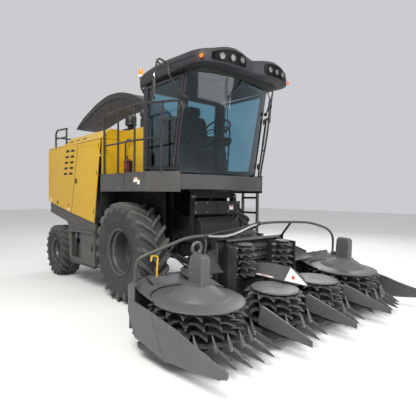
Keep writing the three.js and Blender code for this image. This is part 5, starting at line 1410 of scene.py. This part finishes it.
# steering wheel, column, consoles, floor, screen
k = Maker("plastic")
C = Vector((1010, 0, 2790))
M = T(*C) @ R(math.degrees(-0.55), "Y")
ring = [M @ Vector((214 * math.cos(a), 214 * math.sin(a), 0)) for a in [2 * math.pi * i / 56 for i in range(56)]]
k.tube(ring, 14, 12, closed=True)
for a in (math.pi * 0.5, math.pi * 1.18, math.pi * 1.82):
    k.tube([M @ Vector((40 * math.cos(a), 40 * math.sin(a), -24)), M @ Vector((130 * math.cos(a), 130 * math.sin(a), -16)), M @ Vector((210 * math.cos(a), 210 * math.sin(a), 0))], [14, 11, 9], 8, flat=0.5)
k.lathe([(0, -44), (44, -44), (54, -30), (52, -12), (40, -6), (0, -5)], 32, M)
k.use("seal").lathe([(0, 40), (18, 40), (20, 32), (14, 0), (0, 0)], 16, M @ T(-150, 140, 12))
k.use("plastic")
base = M @ Vector((0, 0, -40))
k.tube([base, (1060, 0, 2660), (1082, 0, 2520)], [36, 44, 60], 16)
k.prism([(1020, 2034), (1150, 2034), (1150, 2300), (1128, 2520), (1040, 2530), (1024, 2300)], "xz", -74, 74)
for s in (-1, 1):
    k.tube([M @ Vector((10, s * 30, -30)), M @ Vector((40, s * 120, -26)), M @ Vector((52, s * 165, -22))], [8, 7, 6], 8)
k.use("trim").prism([(1060, 2600), (1180, 2640), (1196, 2600), (1150, 2520), (1060, 2520)], "xz", -150, 150)
k.use("plastic")
for y in (-90, -30, 30, 90):
    k.lathe([(0, 0), (16, 0), (18, 4), (14, 8), (0, 8)], 16, frame_to((1090 + 20, y, 2619), (-0.3, 0, 1)))
for y in (-110, 40, 130):  # pedals
    k.prism([(930, 2050), (1010, 2120), (1000, 2130), (920, 2062)], "xz", y - 34, y + 34)
k.done("steering_and_dash", "chassis", bevel=0.004, angle=36, replaces=("steering_column",))

k = Maker("carpet")
k.prism([(190, -730), (1000, -760), (1120, -640), (1140, 0), (1120, 640), (1000, 760), (190, 730)], "xy", 2030, 2042)
k.use("trim")
k.box(260, 900, -640, -330, 2042, 2470)      # side console
k.box(230, 380, 330, 700, 2042, 2420)
k.use("plastic")
k.box(330, 880, -620, -350, 2470, 2492)
for x in (420, 500, 580, 660):
    for y in (-560, -480, -410):
        k.lathe([(0, 0), (17, 0), (17, 8), (12, 12), (0, 12)], 16, T(x, y, 2492))
k.pipe([(790, -480, 2490), (800, -480, 2560), (830, -480, 2620)], 15, 12, 4)
k.lathe([(0, 0), (30, 2), (36, 30), (30, 62), (14, 74), (0, 76)], 24, frame_to((826, -480, 2600), (0.3, 0, 1)))
k.pipe([(700, -600, 2492), (900, -640, 2640), (1010, -650, 2760)], 12, 10, 5)
k.T = T(1030, -640, 2830) @ R(24, "Z") @ R(-12, "Y")
k.box(-18, 18, -130, 130, -95, 95)
k.use("gloss").box(-21, -18, -116, 116, -80, 80)
k.T = I4
k.use("trim")
for s in (-1, 1):
    k.box(176, 200, *sorted((s * 380, s * 745)), 2100, 2500)
k.box(176, 200, -745, 745, 2040, 2330)
k.use("plastic")
k.box(178, 196, -700, 700, 2334, 2350)
k.done("cab_floor_and_consoles", "chassis", bevel=0.008, angle=34)

# ------------------------------------------------------------------ cab outside: seals, handle, hinges, wiper
k = Maker("seal")
def pill(z):
    return 1076 + 0.1665 * (z - 2066)


k.tube([(1064 + 0.1665 * 0, -806, 2040), (pill(2500) + 4, -812, 2500), (pill(3000) + 4, -812, 3000), (pill(3440) + 4, -812, 3440)], 7, 8)
k.tube([(1064 + 0.1665 * 0, 806, 2040), (pill(2500) + 4, 812, 2500), (pill(3000) + 4, 812, 3000), (pill(3440) + 4, 812, 3440)], 7, 8)
k.use("black")
for s in (-1, 1):
    for z in (2231, 2977):
        x = pill(z) + 16
        k.rod((x, s * 850, z - 52), (x + 17, s * 850, z + 52), 11, 12)
        k.box(x - 8, x + 26, *sorted((s * 838, s * 850)), z - 34, z + 34)
k.done("windshield_side_seals", "chassis", angle=50)
for side, s, word in SIDES:
    k = Maker("seal")
    for dz0, dz1, xa in ((2170, 3400, 294),):
        P = [(xa, s * 841, dz0), (pill(2144) - 130, s * 841, 2146), (pill(3400) - 130, s * 841, 3400), (xa, s * 841, 3400)]
        for p, q in zip(P, P[1:] + P[:1]):
            k.rod(p, q, 6, 8)
    k.use("plastic")
    k.prism([(372, 2190), (388, 2180), (412, 2186), (422, 2210), (418, 2370), (404, 2396), (384, 2396), (370, 2376)], "xz", *sorted((s * 840, s * 860)))
    k.use("black").tube(spline([(384, s * 858, 2212), (386, s * 876, 2240), (392, s * 880, 2300), (396, s * 872, 2352), (398, s * 858, 2372)], 5), 8, 10)
    k.use("bolt").lathe([(0, 0), (12, 0), (12, 5), (0, 6)], 16, frame_to((398, s * 860, 2206), (0, s, 0)))
    k.use("black")
    for z in (2231, 2977):
        x = pill(z) - 52
        k.box(x - 58, x - 14, *sorted((s * 840, s * 848)), z - 36, z + 36)
        k.use("bolt")
        for a in (-46, -28):
            for b in (-20, 20):
                k.bolt((x + a, s * 848, z + b), (0, s, 0), 6, 4)
        k.use("black")
    k.done(f"door_trim_{side}", f"cab_door_{word}", bevel=0.0012, angle=36)

k = Maker("plastic")
def shield(y, z, out=14):
    bow = 205 * (1 - (abs(y) / 822) ** 2)
    return (1076 + 0.1665 * (z - 2066) + bow * 0.98 + out, y, z)


k.tube([shield(55, 3480, 8), shield(-60, 3320, 26), shield(-197, 3151, 28)], [11, 9, 8], 10)
k.lathe([(0, 0), (26, 0), (28, 14), (18, 26), (0, 28)], 20, frame_to(shield(55, 3490, 0), (1, 0, 0.1)))
k.use("seal").tube([shield(-255, 3420, 16), shield(-225, 3200, 16), shield(-197, 3151, 18), shield(-150, 2760, 16), shield(-142, 2571, 16)], [5, 6, 7, 6, 4], 8)
k.done("wiper", "chassis", angle=40)

# ------------------------------------------------------------------ body panels
for side, s, word in SIDES:
    k = Maker("plastic")
    Y = s * 1213
    LV = [(-2060, 2578), (-1800, 2571), (-2092, 2465), (-1824, 2460), (-2126, 2355), (-1856, 2351), (-2156, 2245), (-1878, 2242), (-2184, 2136), (-1906, 2134)]

    def pill_shape(x, z, w, h, r=14):
        out = []
        for cx_, cz_, a0 in ((x + w - r, z + h - r, 0), (x - w + r, z + h - r, 90), (x - w + r, z - h + r, 180), (x + w - r, z - h + r, 270)):
            for j in range(5):
                a = math.radians(a0 + 22.5 * j)
                out.append((cx_ + r * math.cos(a), cz_ + r * math.sin(a)))
        return out
    for x, z in LV:
        k.use("seal").prism(pill_shape(x, z, 84, 28), "xz", *sorted((Y, Y + s * 1.5)))
        k.use("yellow")
        # hood over the slot, open at the bottom
        vs = []
        for i in range(13):
            t = i / 12
            xx = x - 92 + 184 * t
            bulge = math.sin(math.pi * t) ** 0.4 if 0 < t < 1 else 0.0
            vs += [(xx, Y, z + 30), (xx, Y + s * 15 * bulge, z + 20), (xx, Y + s * 17 * bulge, z + 12), (xx, Y + s * 13 * bulge, z + 13), (xx, Y + s * 0.5, z + 22)]
        fs = []
        for i in range(12):
            for j in range(5):
                a, b = i * 5 + j, i * 5 + (j + 1) % 5
                fs.append((a, b, b + 5, a + 5))
        k.add(vs, fs)
    k.use("plastic")
    # latches
    for x, z, w, h in ((-1652, 1976, 34, 48), (-2607, 1557, 26, 34)):
        k.prism(pill_shape(x, z, w, h, 12), "xz", *sorted((Y, Y + s * 7)))
        k.use("bolt").lathe([(0, 0), (11, 0), (11, 6), (0, 7)], 16, frame_to((x, Y + s * 6, z + h * 0.35), (0, s, 0)))
        k.use("plastic").prism(pill_shape(x, z - h * 0.2, w * 0.6, h * 0.4, 8), "xz", *sorted((Y + s * 6, Y + s * 12)))
    k.use("red").prism(pill_shape(-2005, 1512, 30, 26, 8), "xz", *sorted((Y, Y + s * 5)))
    k.use("white").prism(pill_shape(-2014, 1424, 28, 22, 8), "xz", *sorted((Y, Y + s * 5)))
    k.use("white").prism(pill_shape(-3004, 1600, 22, 40, 5), "xz", *sorted((Y, Y + s * 1.5)))
    k.use("seal").prism([(-1562, 2676), (-1555, 2676), (-1881, 1364), (-1888, 1364)], "xz", *sorted((Y, Y + s * 0.8)))
    # pressed swage along the lower edge and fasteners round the rim
    k.use("yellow")
    k.prism([(-3120, 1690), (-1830, 1690), (-1822, 1706), (-3120, 1706)], "xz", *sorted((Y, Y + s * 4)))
    k.use("bolt")
    for x, z in ((-3130, 1680), (-3130, 2000), (-3130, 2320), (-3130, 2600), (-2900, 2650), (-2500, 2655), (-1700, 2655), (-1960, 1420), (-2300, 1480), (-2700, 1540)):
        k.lathe([(0, 0), (9, 0), (9, 2.5), (6, 4.5), (0, 5)], 14, frame_to((x, Y, z), (0, s, 0)))
    k.done(f"quarter_panel_trim_{side}", "chassis", bevel=0.0015, angle=30)

    k = Maker("yellow")
    # service door: pressed swage, hinge covers at the front
    k.prism([(-1500, 2600), (-760, 2600), (-760, 2616), (-1496, 2616)], "xz", *sorted((Y, Y + s * 4)))
    k.use("plastic")
    for z in (1420, 2100, 2560):
        xx = -869 + (z - 1219) / 1455 * 229 - 34
        k.rod((xx, Y + s * 1, z - 40), (xx + 12, Y + s * 1, z + 40), 7, 10)
    k.done(f"service_door_trim_{side}", f"service_door_{word}", bevel=0.0015, angle=30)

    # slots along the slope of the hood
    k = Maker("seal")
    for x in (-2388, -2095, -1787, -1491):
        for q in (0.46,):
            y0 = 1205 - 205 * q
            z0 = 2686 + 190 * q
            n_ = Vector((0, 190, 205)).normalized()
            d_ = Vector((0, -205, 190)).normalized()
            cpt = Vector((x, y0, z0))
            pts = []
            for u, v in ((-66, -22), (66, -22), (74, -12), (74, 12), (66, 22), (-66, 22), (-74, 12), (-74, -12)):
                p = cpt + Vector((u, 0, 0)) + d_ * v
                pts.append(p)
            vs = [(p.x, s * (p.y + n_.y * 0.3), p.z + n_.z * 0.3) for p in pts] + [(p.x, s * (p.y + n_.y * 2.5), p.z + n_.z * 2.5) for p in pts]
            k.add(vs, [list(range(8))[::-1], list(range(8, 16))] + [(i, (i + 1) % 8, 8 + (i + 1) % 8, 8 + i) for i in range(8)])
    k.use("bolt")
    for x in range(-2360, -650, 190):
        k.bolt((x, s * 960, 2877), (0, 0, 1), 7, 5)
    k.done(f"hood_slots_{side}", "chassis", bevel=0.001, angle=30)

# rear deck: tread strips, a hatch and filler caps
k = Maker("black")
for x in range(-3120, -2440, 60):
    k.box(x, x + 14, -1050, 1050, 2711, 2716)
k.use("yellow").box(-2300, -1900, -500, 500, 2876, 2896)
k.use("black")
for y in (-300, 300):
    k.tube(spline([(-2140, y - 60, 2896), (-2140, y - 55, 2925), (-2140, y, 2932), (-2140, y + 55, 2925), (-2140, y + 60, 2896)], 4), 8, 10)
k.use("plastic").lathe([(0, 0), (60, 0), (64, 10), (60, 34), (50, 40), (0, 42)], 30, T(-1500, -620, 2877))
k.lathe([(0, 0), (60, 0), (64, 10), (60, 34), (50, 40), (0, 42)], 30, T(-1250, 620, 2877))
for y in range(-420, 421, 120):
    k.box(-1780, -1420, y - 30, y + 30, 2877, 2884)
k.done("deck_and_caps", "chassis", bevel=0.003, angle=32)

# ------------------------------------------------------------------ platform, under-cab, hood side
k = Maker("near_black")
# slatted dark screen inside the drive wheels
for s in (-1, 1):
    y0, y1 = sorted((s * 668, s * 672))
    k.box(-640, 560, y0, y1, 1150, 1770)
    for i in range(30):
        x = -622 + i * 39
        k.prism([(x, y0 if s < 0 else y1), (x + 20, y0 - 10 if s < 0 else y1 + 10), (x + 24, y0 - 10 if s < 0 else y1 + 10), (x + 26, y0 if s < 0 else y1)], "xy", 1140, 1752)
for s in (-1, 1):
    k.box(-672, -664, *sorted((s * 840, s * 1176)), 1130, 2640)
    for z in range(1200, 2600, 120):
        k.box(-664, -656, *sorted((s * 850, s * 1166)), z, z + 14)
k.done("wheel_arch_screens", "chassis", bevel=0.001, angle=30)

k = Maker("grey")
for side, s, word in SIDES:
    # folded lip and fasteners along the platform's fascia
    y0, y1 = sorted((s * 1190, s * 1194))
    k.use("grey").box(-648, 806, y0, y1, 2046, 2062)
    k.box(-648, 806, y0, y1, 1778, 1792)
    k.use("seal").box(159, 163, *sorted((s * 1188, s * 1194.5)), 1794, 2044)
    k.use("bolt")
    for x in (-600, -300, 0, 330, 620, 780):
        k.bolt((x, s * 1190, 1835), (0, s, 0), 8, 6)
    k.use("black")
    # chequered treads on the deck
    for x in range(-620, 100, 46):
        for y in range(900, 1150, 46):
            a = 1 if (x // 46 + y // 46) % 2 else -1
            c = Vector((x, s * y, 2066))
            d = Vector((math.cos(0.785 * a), math.sin(0.785 * a), 0))
            e = Vector((-d.y, d.x, 0))
            k.add([c + d * 14 + e * 0, c + e * 4, c - d * 14, c - e * 4, c + Vector((0, 0, 3))], [(0, 1, 4), (1, 2, 4), (2, 3, 4), (3, 0, 4), (3, 2, 1, 0)])
for x in range(200, 800, 46):
    for s in (-1, 1):
        for y in range(905, 1150, 46):
            a = 1 if (x // 46 + y // 46) % 2 else -1
            c = Vector((x, s * y, 2066))
            d = Vector((math.cos(0.785 * a), math.sin(0.785 * a), 0))
            e = Vector((-d.y, d.x, 0))
            k.add([c + d * 14, c + e * 4, c - d * 14, c - e * 4, c + Vector((0, 0, 3))], [(0, 1, 4), (1, 2, 4), (2, 3, 4), (3, 0, 4), (3, 2, 1, 0)])
# blank tags on the right fascia
k.use("white").box(470, 572, -1196, -1190, 1915, 1985)
k.box(585, 640, -1196, -1190, 1880, 1950)
k.use("red").box(474, 512, -1198, -1195, 1962, 1983)
k.use("lemon").box(590, 636, -1198, -1195, 1930, 1948)
k.use("lemon").box(516, 568, -1198, -1195, 1962, 1983)
k.done("platform_trim", "chassis", bevel=0.001, angle=30)

# panel under the cab's nose: folded frame, a blank tag, hydraulic pipes clipped along it
k = Maker("near_black")
k.box(1050, 1056, -493, 493, 1622, 1640)
k.box(1050, 1056, -493, 493, 1440, 1456)
for y in (-486, 0, 486):
    k.box(1050, 1057, y - 7, y + 7, 1442, 1638)
k.use("bolt")
for y in (-450, -220, 220, 450):
    for z in (1470, 1608):
        k.bolt((1050, y, z), (1, 0, 0), 8, 6)
k.use("white").box(1050.5, 1053, 250, 340, 1500, 1575)
k.use("red").box(1052.5, 1054, 254, 336, 1550, 1571)
k.use("near_black")
for i, y in enumerate((-470, -445, -420, 420, 445, 470)):
    k.use("hose").pipe([(962, y, 1760), (975, y, 1700), (978, y, 1640), (940, y * 1.0, 1300), (915, y, 1200)], 9, 8, 4)
k.use("bolt")
for s in (-1, 1):
    for z in (1700,):
        k.box(966, 988, *sorted((s * 408, s * 482)), z, z + 18)
k.done("nose_panel_trim", "chassis", bevel=0.001, angle=35)

# hood side: grab handle, extinguisher on its bracket, air intake and its clamps
k = Maker("black")
k.pipe([(-330, -836, 2100), (-330, -880, 2140), (-330, -890, 2300), (-330, -890, 2500), (-322, -890, 2580), (-290, -890, 2630), (-240, -889, 2650), (-180, -888, 2640), (-150, -870, 2630), (-140, -834, 2625)], 13, 12, 5)
k.use("oldred").lathe([(0, 2095), (44, 2095), (50, 2102), (50, 2300), (44, 2322), (22, 2336), (14, 2340), (0, 2340)], 28, T(-240, -910, 0))
k.use("plastic").lathe([(0, 2338), (14, 2338), (16, 2352), (10, 2372), (0, 2374)], 16, T(-240, -910, 0))
k.prism([(-262, 2362), (-196, 2380), (-196, 2388), (-262, 2372)], "xz", -916, -904)
k.tube(spline([(-226, -912, 2356), (-190, -930, 2340), (-182, -934, 2250), (-186, -930, 2160)], 5), 7, 8)
k.use("black").box(-296, -186, -860, -832, 2120, 2300)
for z in (2140, 2270):
    k.lathe([(50, -12), (54, -10), (54, 10), (50, 12)], 28, T(-240, -910, z), close=True)
k.done("hood_side_fittings", "chassis", bevel=0.001, angle=36)

k = Maker("black")
k.box(-905, -690, -640, -400, 2877, 2935)
k.use("plastic").lathe([(0, 2930), (60, 2930), (60, 2998), (104, 3004), (106, 3012), (104, 3020), (104, 3050), (98, 3054), (98, 3062), (104, 3066), (104, 3150), (92, 3176), (40, 3188), (0, 3190)], 40, T(-798, -520, 0))
k.use("bolt")
for a in range(3):
    an = math.radians(120 * a + 20)
    k.box(-798 + 104 * math.cos(an) - 8, -798 + 104 * math.cos(an) + 8, -520 + 104 * math.sin(an) - 8, -520 + 104 * math.sin(an) + 8, 3034, 3076)
for x in (-880, -715):
    for y in (-620, -420):
        k.bolt((x, y, 2935), (0, 0, 1), 9, 6)
k.use("hose")
for z in (2950, 2964, 2978):
    k.lathe([(58, z - 4), (68, z), (58, z + 4)], 32, T(-798, -520, 0), close=True)
k.done("air_cleaner_can", "chassis", bevel=0.002, angle=34, replaces=("air_cleaner",))

# exhaust stub and pods behind the cab, above the hood
k = Maker("cabframe")
for s in (-1,):
    vs = []
    k.lathe([(0, -60), (62, -60), (80, -44), (84, 0), (80, 44), (62, 60), (0, 60)], 32, frame_to((40, s * 730, 3065), (1, 0, 0)))
    k.use("plastic").box(-20, 92, s * 790, s * 676, 2830, 2990)
    k.use("black").rod((60, s * 730, 2990), (60, s * 730, 3010), 18)
    k.box(92, 158, s * 756, s * 704, 2890, 2930)
    k.box(92, 158, s * 756, s * 704, 3050, 3084)
k.done("cab_rear_pods", "chassis", bevel=0.005, angle=35)

# side boxes: recess edge, cap, hoses clipped inside, foot bar
for side, s, word in SIDES:
    k = Maker("grey")
    Y = s * 1185
    ys = lambda a, b: sorted((s * a, s * b))
    for p in ([(-1925, 500), (-1500, 500), (-1500, 1005), (-1925, 1005)],):
        for a, b in zip(p, p[1:] + p[:1]):
            d = (Vector((b[0], 0, b[1])) - Vector((a[0], 0, a[1]))).normalized()
            k.tube([(a[0], Y + s * 2, a[1]), (b[0], Y + s * 2, b[1])], 7, 8)
    k.use("grey").prism([(-2110, 1140), (-1485, 1140), (-885, 1070), (-885, 1082), (-1485, 1152), (-2110, 1152)], "xz", *ys(1185, 1191))
    k.use("bolt")
    for x, z in ((-2060, 1100), (-1990, 520), (-1960, 470), (-1440, 470), (-1200, 470), (-920, 470), (-920, 1020), (-1200, 1050), (-1440, 1100)):
        k.bolt((x, Y, z), (0, s, 0), 9, 6)
    k.use("grey").prism([(-1440, 520), (-930, 520), (-930, 980), (-1440, 1040)], "xz", *ys(1185, 1188))
    k.use("plastic").prism([(-1010, 700), (-975, 700), (-975, 820), (-1010, 820)], "xz", *ys(1188, 1200))
    k.use("bolt").lathe([(0, 0), (12, 0), (12, 6), (0, 7)], 16, frame_to((-992, Y + s * 14, 790), (0, s, 0)))
    k.use("blue").lathe([(0, 0), (44, 0), (48, 8), (46, 30), (36, 36), (0, 37)], 28, frame_to((-1597, s * 1120, 925), (0, s, 0)))
    k.use("grey").prism([(-1346, 1070), (-1270, 1070), (-1270, 1230), (-1346, 1230)], "xz", *ys(1172, 1180))
    k.use("white").prism([(-1334, 1130), (-1284, 1130), (-1284, 1222), (-1334, 1222)], "xz", *ys(1180, 1183))
    k.use("black").box(-2000, -900, *ys(1150, 1196), 396, 426)
    for x in (-1950, -1440, -950):
        k.box(x - 20, x + 20, *ys(1100, 1160), 400, 436)
    k.use("hose")
    for i, x in enumerate((-1860, -1830, -1800)):
        k.pipe([(x, s * 1128, 540), (x + 6, s * 1134, 640), (x - 4, s * 1134, 800), (x + 2, s * 1128, 960)], 12, 10, 4)
    k.use("bolt")
    for z in (620, 860):
        k.box(-1885, -1778, *ys(1112, 1122), z, z + 22)
    k.done(f"side_box_trim_{side}", "chassis", bevel=0.002, angle=34)

# rear grille slats and tail lamps
k = Maker("black")
x0 = -3120
for z in range(1690, 2500, 70):
    k.prism([(-3157, z), (-3178, z + 34), (-3181, z + 32), (-3160, z - 2)], "xz", -860, 860)
for y in (-860, -430, 0, 430, 860):
    k.box(-3184, -3158, y - 9, y + 9, 1670, 2520)
for s in (-1, 1):
    for j, mname in enumerate(("red", "amber", "white")):
        k.use(mname).lathe([(0, 0), (44, 0), (46, 6), (40, 16), (0, 20)], 28, frame_to((-3172, s * 1020, 2380 - 110 * j), (-1, 0, 0)))
k.use("plastic")
for s in (-1, 1):
    k.box(-3173, -3159, *sorted((s * 960, s * 1080)), 2100, 2440)
k.done("rear_grille_slats", "chassis", bevel=0.0012, angle=34)


# pipes clipped along the feeder housing
k = Maker("hose")
for i, y in enumerate((-300, -270, -240, -60, 60, 250, 280)):
    k.use("hose" if i % 3 else "dark").pipe([(1215, y * 1.04, 1120), (1216, y * 1.04, 1150), (1240, y * 1.05, 1166), (1300, y * 1.06, 1150), (1560, y * 1.1, 1150), (1740, y * 1.12, 1150)], 10, 10, 4)
k.use("dark")
for x in (1380, 1600):
    k.box(x - 12, x + 12, -360, 340, 1128, 1166)
k.done("feeder_pipes", "header", bevel=0.001, angle=38)

# left ladder: punched treads
k = Maker("grey")
for z in (560, 840, 1120, 1400, 1680):
    for x in range(405, 760, 36):
        k.lathe([(8, 0), (13, 0), (11, 4), (8, 4)], 10, T(x, 1251, z + 28), close=True)
    k.box(384, 776, 1272, 1280, z - 6, z + 34)
for x in (395, 765):
    for z in (700, 980, 1260, 1540):
        k.use("bolt").bolt((x + (14 if x > 500 else -14), 1251, z), (1 if x > 500 else -1, 0, 0), 8, 6)
k.done("ladder_treads", "chassis", bevel=0.0008, angle=34)

# ------------------------------------------------------------------ light, floor
world = bpy.data.worlds.new("studio")
scene.world = world
world.use_nodes = True
bg = world.node_tree.nodes["Background"]
bg.inputs[0].default_value = (0.96, 0.97, 1.0, 1)
bg.inputs[1].default_value = 0.62


def area(name, loc, target, size, power, color=(1, 1, 1)):
    d = bpy.data.lights.new(name, "AREA")
    d.shape, d.size, d.size_y, d.energy, d.color = "RECTANGLE", size[0], size[1], power, color
    o = bpy.data.objects.new(name, d)
    o.location = loc
    o.rotation_mode = "QUATERNION"
    o.rotation_quaternion = (Vector(target) - Vector(loc)).to_track_quat("-Z", "Y")
    o.visible_camera = False
    o.visible_transmission = False
    scene.collection.objects.link(o)
    return o


area("key", (6.0, -7.0, 9.5), (0.5, 0, 1.2), (5, 5), 1450, (1.0, 0.98, 0.95))
area("fill", (9.0, 2.0, 5.0), (0.5, 0, 1.5), (6, 5), 380, (0.93, 0.96, 1.0))
area("back", (-3.0, 9.0, 8.0), (0, 0, 1.5), (6, 6), 420)
fl = bpy.data.meshes.new("floor")
fl.from_pydata([(-40, -40, 0), (40, -40, 0), (40, 40, 0), (-40, 40, 0)], [], [(0, 1, 2, 3)])
fn = Nodes("studio_floor")
fn.link(fn.mix(fn.ramp(fn.noise(0.7, 3.0), 0.3, 0.7), (0.78, 0.78, 0.77), (0.81, 0.81, 0.80)), fn.p.inputs["Base Color"])
fn.p.inputs["Roughness"].default_value = 0.85
fl.materials.append(fn.m)
floor = bpy.data.objects.new("floor", fl)
scene.collection.objects.link(floor)
scene.view_settings.view_transform = "Standard"
scene.view_settings.look = "None"
